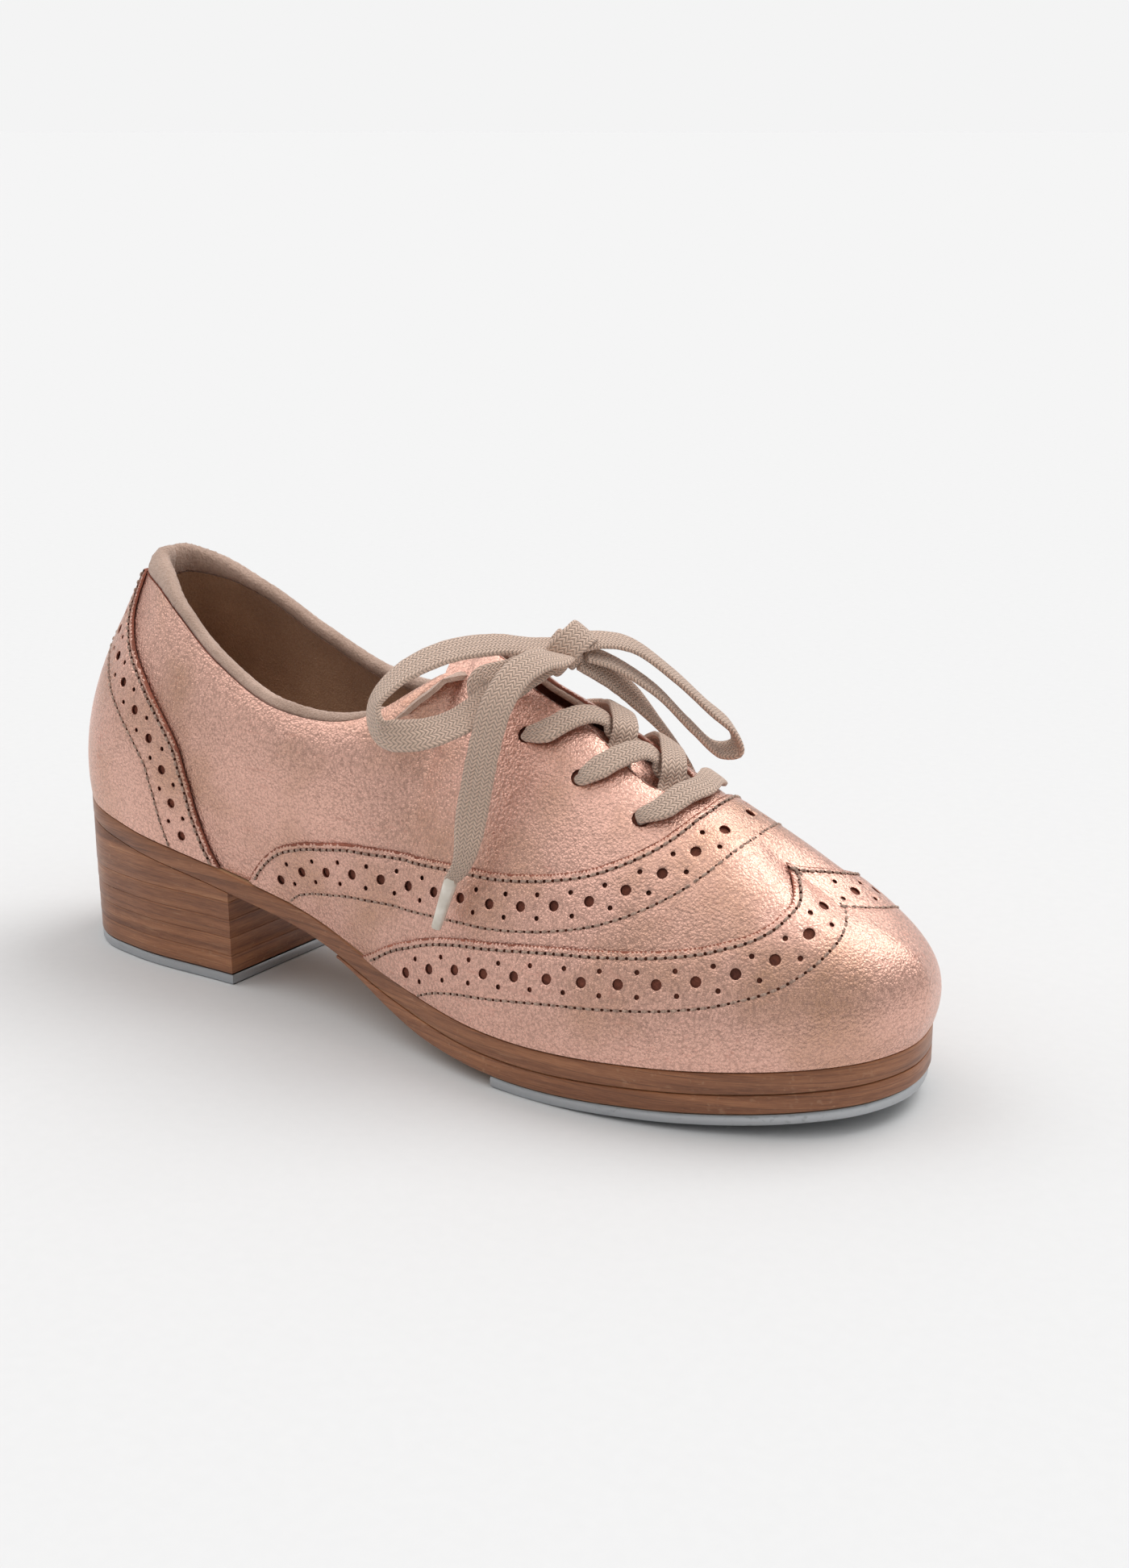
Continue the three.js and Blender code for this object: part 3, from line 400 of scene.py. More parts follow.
def inside_polygon(points, loop):
    x, y = points[:, 0][:, None], points[:, 1][:, None]
    x0, y0 = loop[:, 0], loop[:, 1]
    x1, y1 = np.roll(x0, -1), np.roll(y0, -1)
    crosses = (y0 > y) != (y1 > y)
    with np.errstate(divide="ignore", invalid="ignore"):
        at = x0 + (y - y0) * (x1 - x0) / (y1 - y0)
    return (np.sum(crosses & (x < at), axis=1) % 2) == 1


def near_segments(points, loop):
    """For each point the least distance to a closed loop."""
    d = np.roll(loop, -1, axis=0) - loop
    f = ((points[:, None] - loop) * d).sum(-1) / np.maximum((d * d).sum(-1), 1e-12)
    q = loop + np.clip(f, 0, 1)[..., None] * d
    return np.linalg.norm(points[:, None] - q, axis=-1).min(1)


CHART = np.array([560.0, 80.0])
HOLE_SIDES = 12
ROW_BREAK = 6.0
HALF_STEP = 0.4


def tangent_map(s, t):
    """The 3-D directions, per unit of s and t, at points of the surface."""
    e = NUDGE
    ds = (surface(s + e, t) - surface(s - e, t)) / (2 * e)
    low, high = np.maximum(t - e, 0), np.minimum(t + e, 1)
    dt = (surface(s, high) - surface(s, low)) / (high - low)[..., None]
    return ds, dt


def step_on_surface(s, t, direction):
    """Moves (s, t) by a small 3-D vector laid onto the surface."""
    ds, dt = tangent_map(s, t)
    a, b, c = (ds * ds).sum(-1), (ds * dt).sum(-1), (dt * dt).sum(-1)
    p, q = (ds * direction).sum(-1), (dt * direction).sum(-1)
    det = a * c - b * b
    return s + (c * p - b * q) / det, t + (a * q - b * p) / det


def row_inside(edge, distance, side, steps=6):
    """The line that runs a given distance inside an edge; side is +1 or -1 across it."""
    s, t = edge[:, 0].copy(), edge[:, 1].copy()
    p = surface(s, t)
    tangent = np.gradient(p, axis=0)
    tangent /= np.linalg.norm(tangent, axis=1, keepdims=True)
    for _ in range(steps):
        across = np.cross(normal(s, t), tangent) * side
        s, t = step_on_surface(s, np.clip(t, 0, 1), across * (distance / steps))
    moved = np.stack([s, t], -1)
    q = surface(s, np.clip(t, 0, 1))
    gap = np.linalg.norm(q[:, None] - p[None], axis=-1).min(1)
    keep = (gap > distance * 0.93) & (t > 0.005) & (t < 0.999)
    return moved[keep]


def runs_of(row, p):
    """The unbroken parts of a row: where each starts and ends."""
    jump = np.linalg.norm(np.diff(p, axis=0), axis=1)
    cuts = [0, *(np.nonzero(jump > ROW_BREAK)[0] + 1), len(row)]
    return [(a, b) for a, b in zip(cuts[:-1], cuts[1:]) if b - a >= 3]


def lengths_along(points):
    """How far along a line each of its points lies."""
    return np.concatenate([[0], np.cumsum(np.linalg.norm(np.diff(points, axis=0), axis=1))])


def spaced(row, pitch_mm, start=0.0):
    """Places along a row at equal spacing, with their 3-D direction. Breaks in the row are skipped."""
    p = surface(row[:, 0], row[:, 1])
    out = []
    for a, b in runs_of(row, p):
        part, length = row[a:b], lengths_along(p[a:b])
        room = length[-1] - 2 * start
        if room < pitch_mm:
            continue
        count = int(room // pitch_mm)
        at = start + (room - count * pitch_mm) / 2 + pitch_mm * np.arange(count + 1)
        s, t = (np.interp(at, length, part[:, k]) for k in (0, 1))
        ends = [[np.interp(q, length, part[:, k]) for k in (0, 1)] for q in (at + HALF_STEP, at - HALF_STEP)]
        direction = surface(*ends[0]) - surface(*ends[1])
        direction /= np.maximum(np.linalg.norm(direction, axis=1, keepdims=True), 1e-9)
        out += [(s[i], t[i], direction[i]) for i in range(len(at))]
    return out


def hole_ring(s, t, radius):
    """The (s, t) outline of a round hole of a given radius in millimetres."""
    n = normal(s, t)
    ds, _ = tangent_map(np.array(s), np.array(t))
    e1 = ds / np.linalg.norm(ds)
    e2 = np.cross(n, e1)
    angle = np.arange(HOLE_SIDES) / HOLE_SIDES * TURN
    around = (np.cos(angle)[:, None] * e1 + np.sin(angle)[:, None] * e2) * radius
    ss, tt = step_on_surface(np.full(HOLE_SIDES, s), np.full(HOLE_SIDES, t), around)
    return np.stack([ss, tt], -1)


def trimmed_sheet(name, keeps, heights, materials, columns=180, rows=30, side=None):
    """A leather or lining layer without holes, trimmed from the surface by keep functions of (s, t)."""
    lo, hi = (0.0, 0.5) if side == -1 else (0.5, 1.0) if side == 1 else (0.0, 1.0)
    n = columns if side is None else columns // 2
    gs = np.linspace(lo, hi, n + 1)
    gt = np.linspace(0, 1, rows + 1)
    index, places, faces = {}, [], []

    def vertex(p):
        k = (round(p[0], 6), round(p[1], 6))
        if k not in index:
            index[k] = len(places)
            places.append(p)
        return index[k]

    values = [keep(gs[:, None], gt[None, :]) + np.zeros((n + 1, rows + 1)) for keep in keeps]
    least = np.min(values, axis=0)
    for i in range(n):
        for j in range(rows):
            corner = least[i : i + 2, j : j + 2]
            if corner.max() < 0:
                continue
            quad = [(gs[i], gt[j]), (gs[i + 1], gt[j]), (gs[i + 1], gt[j + 1]), (gs[i], gt[j + 1])]
            if corner.min() >= 0:
                faces.append([vertex(p) for p in quad])
                continue
            polygon = quad
            for keep in keeps:
                polygon = clip(polygon, keep)
                if not polygon:
                    break
            ring = [vertex(p) for p in polygon]
            ring = [v for k, v in enumerate(ring) if v != ring[(k + 1) % len(ring)]]
            if len(ring) >= 3:
                faces.append(ring)
    flat = np.array(places)
    outer = lifted(flat[:, 0], flat[:, 1], np.full(len(flat), heights[1]))
    inner = lifted(flat[:, 0], flat[:, 1], np.full(len(flat), heights[0]))
    normals = normal(flat[:, 0], flat[:, 1])
    count = len(outer)
    edges = {(f[k], f[(k + 1) % len(f)]): None for f in faces for k in range(len(f))}
    out = [tuple(f) for f in faces]
    slots = [0] * len(out)
    out += [tuple(v + count for v in reversed(f)) for f in faces]
    slots += [1] * len(faces)
    for p, q in edges:
        if (q, p) not in edges:
            out.append((p, p + count, q + count, q))
            slots.append(2)
    obj = new_object(name, metres(np.concatenate([outer, inner])), out, materials, slots)
    set_normals(obj, [*normals, *[-v for v in normals]], smooth_slots=(0, 1))
    return obj


def clip(polygon, keep):
    value = [float(keep(np.array(s), np.array(t))) for s, t in polygon]
    out = []
    for i, p in enumerate(polygon):
        j = (i + 1) % len(polygon)
        q = polygon[j]
        if value[i] >= 0:
            out.append(p)
        if value[i] * value[j] < 0:
            w = value[i] / (value[i] - value[j])
            out.append((mix(p[0], q[0], w), mix(p[1], q[1], w)))
    return out


# ---- Leather layers with punched and stitched bands ----

BAND_HOLE = 1.3
BAND_PINHOLE = 0.62
BAND_PITCH = 9.0
BAND_MIDDLE = 7.4
BAND_ROWS = (1.6, 13.2)
BAND_END = 4.0
PINHOLE_SPREAD = 2.7
EYELET_RADIUS = 2.2
CUT_ROUND = 0.32
SKIVE = 0.3
RAW_RIM = 0.42
STITCH_SINK = 0.3
STITCH_REACH = 0.5
CUT_REACH = 0.45
SKIVE_REACH = 2.2
HOLE_SINK = 0.25
HOLE_REACH = 0.4
RIM_STEP = 0.55


def crossing(edge, level, low, high):
    """The reach at which an edge line passes a rib share."""
    for _ in range(40):
        middle = (low + high) / 2
        if (edge(middle) - level) * (edge(high) - level) > 0:
            high = middle
        else:
            low = middle
    return (low + high) / 2


def edge_line(edge, start, end, side, drop=0.0, count=160):
    u = np.linspace(start, end, count)
    return np.stack([station(u, side), np.clip(edge(u) - drop, 0, 1)], -1)


def nearest(points, others, chunk=2000):
    """For each point the least distance to the others."""
    out = np.full(len(points), 1e9)
    if not len(others):
        return out
    for a in range(0, len(points), chunk):
        part = points[a : a + chunk]
        out[a : a + chunk] = np.sqrt(((part[:, None] - others[None]) ** 2).sum(-1).min(1))
    return out


def beside(row, distance):
    """The two lines that run beside a row on the surface."""
    s, t = row[:, 0], row[:, 1]
    tangent = np.gradient(surface(s, t), axis=0)
    tangent /= np.maximum(np.linalg.norm(tangent, axis=1, keepdims=True), 1e-9)
    across = np.cross(normal(s, t), tangent) * distance
    lines = []
    for sign in (1, -1):
        a, b = step_on_surface(s, t, across * sign)
        keep = (b > 0.002) & (b < 0.998)
        lines.append(np.stack([a, b], -1)[keep])
    return lines


def even(row, spacing):
    """A row with points a set distance apart, in millimetres on the surface."""
    if len(row) < 3:
        return row
    p = surface(row[:, 0], row[:, 1])
    pieces = []
    for a, b in runs_of(row, p):
        length = lengths_along(p[a:b])
        at = np.linspace(0, length[-1], max(int(length[-1] / spacing), 2))
        pieces.append(np.stack([np.interp(at, length, row[a:b, k]) for k in (0, 1)], -1))
    return np.concatenate(pieces) if pieces else row[:0]


def hollow(away, width):
    return np.exp(-((away / width) ** 2))


def leather_layer(name, loop, cut_edges, rows, holes, heights, materials, grid):
    """A leather layer: its face, its raw cut edge, the floor of each hole and the sunk stitch rows.

    loop is the outline in (s, t); cut_edges the parts of it that show; rows the stitch rows; holes are
    (s, t, radius); heights the inner and outer height above the last's surface in millimetres.
    """
    chart_loop = loop * CHART
    rings = [hole_ring(s, t, r) for s, t, r in holes]
    rims = [hole_ring(s, t, r + RIM_STEP) for s, t, r in holes]
    low, high = chart_loop.min(0), chart_loop.max(0)
    gx, gy = np.meshgrid(np.arange(low[0], high[0], grid), np.arange(low[1], high[1], grid * 0.87))
    gx = gx + (np.arange(gx.shape[0]) % 2)[:, None] * grid / 2
    points = np.stack([gx.ravel(), gy.ravel()], -1)
    points = points[inside_polygon(points, chart_loop)]
    points = points[near_segments(points, chart_loop) > grid * 0.45]
    fine = [even(row, 1.3) for row in rows]
    fine += [line for row in rows for line in beside(even(row, 1.3), 0.75)]
    fine += [line for edge in cut_edges for line in beside(even(edge, 1.1), RIM_STEP)]
    fine += rims
    fine = np.concatenate(fine) if fine else np.zeros((0, 2))
    centres = np.array([[s, t] for s, t, _ in holes]) if holes else np.zeros((0, 2))
    radii = np.array([r for _, _, r in holes])
    if len(fine):
        fine = fine[(fine[:, 1] > 0.003) & (fine[:, 1] < 0.997)]
        flat = fine * CHART
        ok = inside_polygon(flat, chart_loop)
        ok &= near_segments(flat, chart_loop) > 0.35
        fine = fine[ok]
    if len(holes):
        hole_at = surface(centres[:, 0], centres[:, 1])

        def clear_of_holes(places, margin):
            p = surface(places[:, 0], places[:, 1])
            gap = np.linalg.norm(p[:, None] - hole_at[None], axis=-1) - radii[None]
            return gap.min(1) > margin

        if len(fine):
            fine = fine[clear_of_holes(fine, 0.4)]
        points = points[clear_of_holes(points / CHART, 0.9)]
    if len(fine):
        points = points[nearest(points, fine * CHART) > 0.8]
    parts = [chart_loop, *[ring * CHART for ring in rings], fine * CHART, points]
    coords = np.concatenate(parts)
    outlines, start = [], 0
    for part in parts[: 1 + len(rings)]:
        turning = (part[:, 0] * np.roll(part[:, 1], -1) - part[:, 1] * np.roll(part[:, 0], -1)).sum()
        order = range(start, start + len(part))
        outlines.append(list(order if turning > 0 else reversed(order)))
        start += len(part)
    corners = [Vector((float(x), float(y))) for x, y in coords]
    co, _, tris, _, _, origin = delaunay_2d_cdt(corners, [], outlines, 1, 1e-5)
    flat = np.array([list(c) for c in co]) / CHART
    flat[:, 1] = np.clip(flat[:, 1], 0, 1)
    tri = np.array([list(f) for f, o in zip(tris, origin) if o and max(o) == 0])
    base = surface(flat[:, 0], flat[:, 1])
    normals = normal(flat[:, 0], flat[:, 1])
    # soft hollows along the stitch rows, at the cut edges and round the holes
    sink, rim = np.zeros(len(flat)), np.full(len(flat), 9.0)
    if rows:
        line = np.concatenate([even(row, 0.6) for row in rows])
        away = nearest(base, surface(line[:, 0], line[:, 1]))
        sink += STITCH_SINK * hollow(away, STITCH_REACH)
    if cut_edges:
        line = np.concatenate([even(edge, 0.5) for edge in cut_edges])
        rim = nearest(base, surface(line[:, 0], line[:, 1]))
        sink += CUT_ROUND * hollow(rim, CUT_REACH) + SKIVE * hollow(rim, SKIVE_REACH)
    if len(holes):
        gap = np.abs(np.linalg.norm(base[:, None] - hole_at[None], axis=-1) - radii[None]).min(1)
        sink += HOLE_SINK * hollow(gap, HOLE_REACH)
    outer = base + normals * (heights[1] - sink)[:, None]
    inner = base + normals * heights[0]
    a, b, c = base[tri[:, 0]], base[tri[:, 1]], base[tri[:, 2]]
    flip = (np.cross(b - a, c - a) * normals[tri[:, 0]]).sum(-1) < 0
    tri[flip] = tri[flip][:, ::-1]
    key, remap, used = {}, [], []
    for k, p in enumerate(np.round(base, 3)):
        q = tuple(p)
        if q not in key:
            key[q] = len(used)
            used.append(k)
        remap.append(key[q])
    tri = np.array(remap)[tri]
    tri = tri[(tri[:, 0] != tri[:, 1]) & (tri[:, 1] != tri[:, 2]) & (tri[:, 0] != tri[:, 2])]
    outer, inner, normals, sink, rim = outer[used], inner[used], normals[used], sink[used], rim[used]
    count = len(outer)
    border = {}
    edges = {(f[i], f[(i + 1) % 3]) for f in tri for i in range(3)}
    for p, q in edges:
        if (q, p) not in edges:
            border[p] = q
    faces = [tuple(f) for f in tri] + [(f[2] + count, f[1] + count, f[0] + count) for f in tri]
    slots = [*(rim[tri].mean(1) < RAW_RIM).astype(int), *([1] * len(tri))]
    seen = set()
    for first in list(border):
        ring, q = [], first
        while q not in seen and q in border:
            seen.add(q)
            ring.append(q)
            q = border[q]
        if not ring:
            continue
        is_hole = len(ring) <= HOLE_SIDES + 2
        for p, q in zip(ring, ring[1:] + ring[:1]):
            faces.append((p, p + count, q + count, q))
            slots.append(1)
        # a floor across each hole at the inner face, in the dark hole material: painted shade
        if is_hole:
            faces.append(tuple(v + count for v in ring))
            slots.append(2)
    rebuilt = np.zeros_like(outer)
    a, b, c = outer[tri[:, 0]], outer[tri[:, 1]], outer[tri[:, 2]]
    area = np.cross(b - a, c - a)
    for k in range(3):
        np.add.at(rebuilt, tri[:, k], area)
    rebuilt /= np.maximum(np.linalg.norm(rebuilt, axis=1, keepdims=True), 1e-12)
    near = nearest(outer, outer[sink > 0.02]) < 1.2 if (sink > 0.02).any() else np.zeros(count, bool)
    shown = np.where(near[:, None], rebuilt, normals)
    obj = new_object(name, metres(np.concatenate([outer, inner])), faces, materials, slots)
    set_normals(obj, [*shown, *([None] * count)])
    return obj


def band(edge, inside):
    """Stitch rows and punched holes that follow one cut edge; inside tells which side is leather."""
    p = surface(edge[:, 0], edge[:, 1])
    tangent = np.gradient(p, axis=0)
    tangent /= np.linalg.norm(tangent, axis=1, keepdims=True)
    middle = len(edge) // 2
    across = np.cross(normal(edge[:, 0], edge[:, 1]), tangent)
    a, b = step_on_surface(edge[:, 0], edge[:, 1], across * 2)
    side = 1 if inside(a[middle], b[middle]) else -1
    rows = [row_inside(edge, distance, side, 10) for distance in BAND_ROWS]
    punched = []
    centre = row_inside(edge, BAND_MIDDLE, side, 8)
    for k, (s, t, direction) in enumerate(spaced(centre, BAND_PITCH / 2, BAND_END)):
        if t > 0.975 or t < 0.012:
            continue
        if k % 2 == 0:
            punched.append((s, t, BAND_HOLE))
            continue
        away = np.cross(normal(s, t), direction) * PINHOLE_SPREAD
        for sign in (1, -1):
            q, r = step_on_surface(s, t, away * sign)
            if 0.01 < r < 0.985:
                punched.append((float(q), float(r), BAND_PINHOLE))
    return rows, punched


def banded(lines, inside):
    """The edges, stitch rows and holes of bands along several lines of one layer."""
    rows, holes = [], []
    for line in lines:
        found, punched = band(line, inside)
        rows += found
        holes += punched
    return lines, rows, thin_out(holes)


def thin_out(punched, gap=1.2):
    """Drops a hole that would run into one already placed, as where two bands meet at the middle."""
    kept, at = [], []
    for s, t, radius in sorted(punched, key=lambda h: -h[2]):
        p = surface(s, t)
        if all(np.linalg.norm(p - q) > radius + r + gap for q, r in at):
            kept.append((s, t, radius))
            at.append((p, radius))
    return kept


# ---- Stitches: place along the stitch, height and radius of the thread; height and radius of a needle hole's dark plug, painted shade ----

STITCH_PROFILE = [
    (-1.02, -0.26, 0.14), (-0.8, 0.02, 0.27), (-0.4, 0.22, 0.34), (0, 0.27, 0.35), (0.4, 0.22, 0.34),
    (0.8, 0.02, 0.27), (1.02, -0.26, 0.14),
]
NEEDLE_SHADE_PROFILE = [(-0.3, 0.26), (0.1, 0.42), (0.14, 0.26)]
STITCH_PITCH = 2.25
STITCH_HALF = 0.86


def stitch_mesh(name, rows, height, materials):
    """Thread stitches that dip into a needle hole at both ends, one mesh for all the rows of a layer; a dark
    plug in each needle hole is painted shade.
    """
    verts, faces, slots, sides = [], [], [], 6
    for row in rows:
        for s, t, direction in spaced(even(row, 0.8), STITCH_PITCH, 0.6):
            if t > 0.995:
                continue
            n = normal(s, t)
            across = np.cross(n, direction)
            centre = surface(s, t) + n * (height - STITCH_SINK)
            start = len(verts)
            for at, lift, radius in STITCH_PROFILE:
                for k in range(sides):
                    angle = k / sides * TURN
                    spread = across * math.cos(angle) + n * math.sin(angle)
                    verts.append(centre + direction * at * STITCH_HALF + n * lift + spread * radius)
            faces += walls(len(STITCH_PROFILE), sides, start)
            slots += [0] * (len(faces) - len(slots))
            # a dark plug in the needle hole between stitches: painted shade
            hole = centre + direction * STITCH_PITCH / 2
            start = len(verts)
            for level, radius in NEEDLE_SHADE_PROFILE:
                for k in range(sides):
                    angle = k / sides * TURN
                    spread = across * math.cos(angle) + direction * math.sin(angle)
                    verts.append(hole + spread * radius + n * level)
            for r in range(2):
                for k in range(sides):
                    a = start + r * sides + k
                    b = start + r * sides + (k + 1) % sides
                    faces.append((a, a + sides, b + sides, b))
                    slots.append(1)
            faces.append(tuple(start + k for k in range(sides)))
            faces.append(tuple(start + 2 * sides + k for k in reversed(range(sides))))
            slots += [1, 1]
    obj = new_object(name, metres(verts), faces, materials, slots)
    shade(obj, 60)
    return obj


# ---- Flat lace strands ----


CENTRIPETAL = 0.5


def catmull(points, f):
    """A point of a Catmull-Rom spline at a share of its parameter."""
    count = len(points)
    at = f * (count - 1)
    i = min(int(at), count - 2)
    w = at - i
    p1, p2 = points[i], points[i + 1]
    p0 = points[i - 1] if i > 0 else 2 * points[0] - points[1]
    p3 = points[i + 2] if i + 2 < count else 2 * points[-1] - points[-2]
    steps = ((p0, p1), (p1, p2), (p2, p3))
    d0, d1, d2 = (max(np.linalg.norm(b - a) ** CENTRIPETAL, 1e-4) for a, b in steps)
    m1 = ((p1 - p0) / d0 - (p2 - p0) / (d0 + d1) + (p2 - p1) / d1) * d1
    m2 = ((p2 - p1) / d1 - (p3 - p1) / (d1 + d2) + (p3 - p2) / d2) * d1
    a = -3 * p1 + 3 * p2 - 2 * m1 - m2
    b = 2 * p1 - 2 * p2 + m1 + m2
    return p1 + m1 * w + a * w * w + b * w**3


def lace_route(points, faces, spacing=0.6):
    """Evenly spaced centres of a strand, the across and facing directions and the way come at each.

    faces are the ways its flat side looks from start to end, or one direction of its width throughout.
    """
    points = [np.array(p, float) for p in points]
    faces = [np.array(p, float) / np.linalg.norm(p) for p in faces]
    dense = np.array([catmull(points, f) for f in np.linspace(0, 1, 40 * len(points))])
    length = lengths_along(dense)
    count = max(int(length[-1] / spacing), 8)
    at = np.linspace(0, length[-1], count + 1)
    centre = np.stack([np.interp(at, length, dense[:, k]) for k in range(3)], -1)
    tangent = np.gradient(centre, axis=0)
    tangent /= np.linalg.norm(tangent, axis=1, keepdims=True)
    if len(faces) == 1:
        facing = np.cross(tangent, faces[0])
    else:
        facing = np.array([catmull(faces, f) for f in np.linspace(0, 1, count + 1)])
    across = np.cross(facing, tangent)
    across /= np.linalg.norm(across, axis=1, keepdims=True)
    return centre, across, np.cross(tangent, across), at


LACE_SIDES = 28
LACE_CORNER = (0.6, 0.55)
FUZZ = 0.1
END_PLUMP = 1.7
FACE_OFFSET = 0.37


def lace_section(width, thickness):
    """A flat section with rounded edges."""
    angle = (np.arange(LACE_SIDES) + 0.5) / LACE_SIDES * TURN
    c, s = np.cos(angle), np.sin(angle)
    across = np.sign(c) * np.abs(c) ** LACE_CORNER[0] * width / 2
    up = np.sign(s) * np.abs(s) ** LACE_CORNER[1] * thickness / 2
    return across, up


def lace_mesh(name, runs, materials):
    """Braided flat strands as one piece. A run is (route, width, thickness, start taper, end taper)."""
    verts, faces, weave = [], [], []
    rng = np.random.default_rng(7)
    for (centre, across, facing, at), width, thickness, tapers in runs:
        x, y = lace_section(width, thickness)
        count = len(centre)
        f = np.linspace(0, 1, count)
        taper = np.minimum(1, np.minimum(mix(tapers[0], 1, f * 5), mix(tapers[1], 1, (1 - f) * 5)))
        fuzz = np.convolve(rng.normal(0, 1, count + 6), np.ones(3) / 3, "same")[3:-3] * FUZZ
        start = len(verts)
        for i in range(count):
            plump = mix(END_PLUMP, 1, min(taper[i], 1))
            wide = x * taper[i] + np.sign(x) * np.abs(x) / width * 2 * fuzz[i]
            ring = centre[i] + across[i] * wide[:, None] + facing[i] * (y * plump)[:, None]
            verts += list(ring)
            weave += [(x[k] + (0 if y[k] > 0 else FACE_OFFSET), at[i], 0) for k in range(LACE_SIDES)]
        faces += walls(count, LACE_SIDES, start)
    obj = new_object(name, metres(verts), faces, materials)
    attribute = obj.data.attributes.new("weave", "FLOAT_VECTOR", "POINT")
    attribute.data.foreach_set("vector", np.array(weave, dtype=np.float32).ravel())
    face_outwards(obj)
    shade(obj, 80)
    return obj


TOP_ROW = 3
LOW_EYELET = 0.74
TOP_EYELET = 0.517
TUCK = -0.9
TAPER = 0.45
eyelet_share = Curve([0.517, 0.604, 0.675, 0.74], [0.755, 0.765, 0.735, 0.72])
HEM_WIDTH = 6.2
MOUTH = 0.7


def reach_of_row(row):
    return mix(LOW_EYELET, TOP_EYELET, row / TOP_ROW)


def over_lacing(row, side, share, height):
    u = reach_of_row(row)
    t = float(eyelet_share(u)) if share == 0 else share
    s = station(u, side)
    return lifted(s, t, height), normal(s, t)


UNDER_ROUTE = [
    (1, 0, MOUTH, 0.05), (1, 0.8, 1.8, 0.35), (1, 0.875, 2, 0.62), (1, 0.94, 1.9, 0.85),
    (1, 0.985, 0.7, 1.06), (-1, 0.995, -2, 1.2), (-1, 0.965, -3, 1.32), (-1, 0.9, -3.1, 1.5),
]
OVER_ROUTE = [
    (1, 0, MOUTH, 0), (1, 0.8, 1.9, 0.45), (1, 0.9, 2.3, 0.95), (-1, 0.995, 1.75, 1.42),
    (-1, 0.965, -0.9, 1.5), (-1, 0.935, -2.6, 1.51), (-1, 0.86, -2.8, 1.54),
]
BAR_ROUTE = [
    (-1, 0, MOUTH, 0), (-1, 0.774, 1.8, 0.32), (-1, 0.886, 2.2, 0.71), (1, 1, 2.2, 1.02),
    (1, 0.886, 2.2, 0.71), (1, 0.774, 1.8, 0.32), (1, 0, MOUTH, 0),
]
TIE = [(144, 8.5, 92.5), (148, 5, 94.8), (152, 1.5, 96.3)]
KNOT = np.array([154.5, 0, 97.5])
BOW = {
    "lace_loop_lateral": (
        [(153, -2.5, 98.2), (150.5, -7, 98.6), (146, -16, 100.4), (139, -28, 99.5), (133, -38, 94.5),
         (131, -43, 88.8), (134, -44.5, 83.8), (140.5, -40.6, 83), (145.6, -32.3, 84.6),
         (148.4, -20, 88.9), (150.4, -9, 93), (152.5, -3.5, 95.5)],
        [(0.2, -0.35, 0.92), (0.1, -0.6, 0.8), (-0.2, -0.85, 0.5), (-0.5, -0.85, 0.1), (-0.1, -0.95, 0.2),
         (0.4, -0.8, 0.45), (0.4, -0.7, 0.6)],
    ),
    "lace_loop_medial": (
        [(156, 2, 98.5), (158.5, 6.5, 99), (163.5, 14, 97), (170.5, 22, 89), (176, 29, 80.5),
         (180, 34, 74.5), (180.5, 36, 69.4), (176.8, 33.5, 68.6), (172.6, 26.8, 75.6), (167.6, 18.4, 85.6),
         (160.8, 9, 93.6), (157, 4, 96)],
        [(0.75, -0.58, -0.3)],
    ),
    "lace_end_lateral": (
        [(155.5, -3.5, 96.5), (157.4, -8.6, 97.3), (157.4, -15, 98), (156.2, -22.2, 95.8),
         (154.8, -27.8, 89.6), (153, -30.2, 80), (150.2, -31.2, 65.4), (149, -34, 52),
         (146.3, -35.2, 47.4)],
        [(0.3, -0.3, 0.9), (0.4, -0.6, 0.7), (0.4, -0.85, 0.35), (0.4, -0.9, 0.1), (0.4, -0.9, 0.15)],
    ),
    "lace_end_medial": (
        [(156, 3, 95), (158.4, 8, 91.4), (161.8, 15, 85.4), (165.9, 22, 76.8), (168, 29.5, 67.6),
         (168.3, 35.5, 57.5), (168, 38.5, 48)],
        [(0.6, -0.3, 0.7), (0.6, -0.2, 0.75), (0.6, 0.4, 0.6), (0.5, 0.8, 0.3), (0.4, 0.9, 0.2)],
    ),
}
AGLET_PROFILE = [
    (0, 1.0), (0.0, 1.5), (0.03, 1.62), (0.2, 1.58), (0.55, 1.38), (0.9, 1.2), (0.97, 1.18), (1.0, 1.0),
    (1.0, 0.7), (0.985, 0.62), (0.98, 0.3),
]
AGLETS = {
    "aglet_lateral": ((146.6, -35, 48.2), (143.2, -37, 35.6)),
    "aglet_medial": ((168, 38.4, 49), (167.4, 40.5, 35.6)),
}


# ---- Layers that follow the sole outline ----


FACE_INSET = 1.6


def reach_at(x):
    """The reach at which the outline has come a given way from heel to toe."""
    low, high = 0.0, 1.0
    for _ in range(40):
        middle = (low + high) / 2
        if outline_x(middle / 2) < x:
            low = middle
        else:
            high = middle
    return low


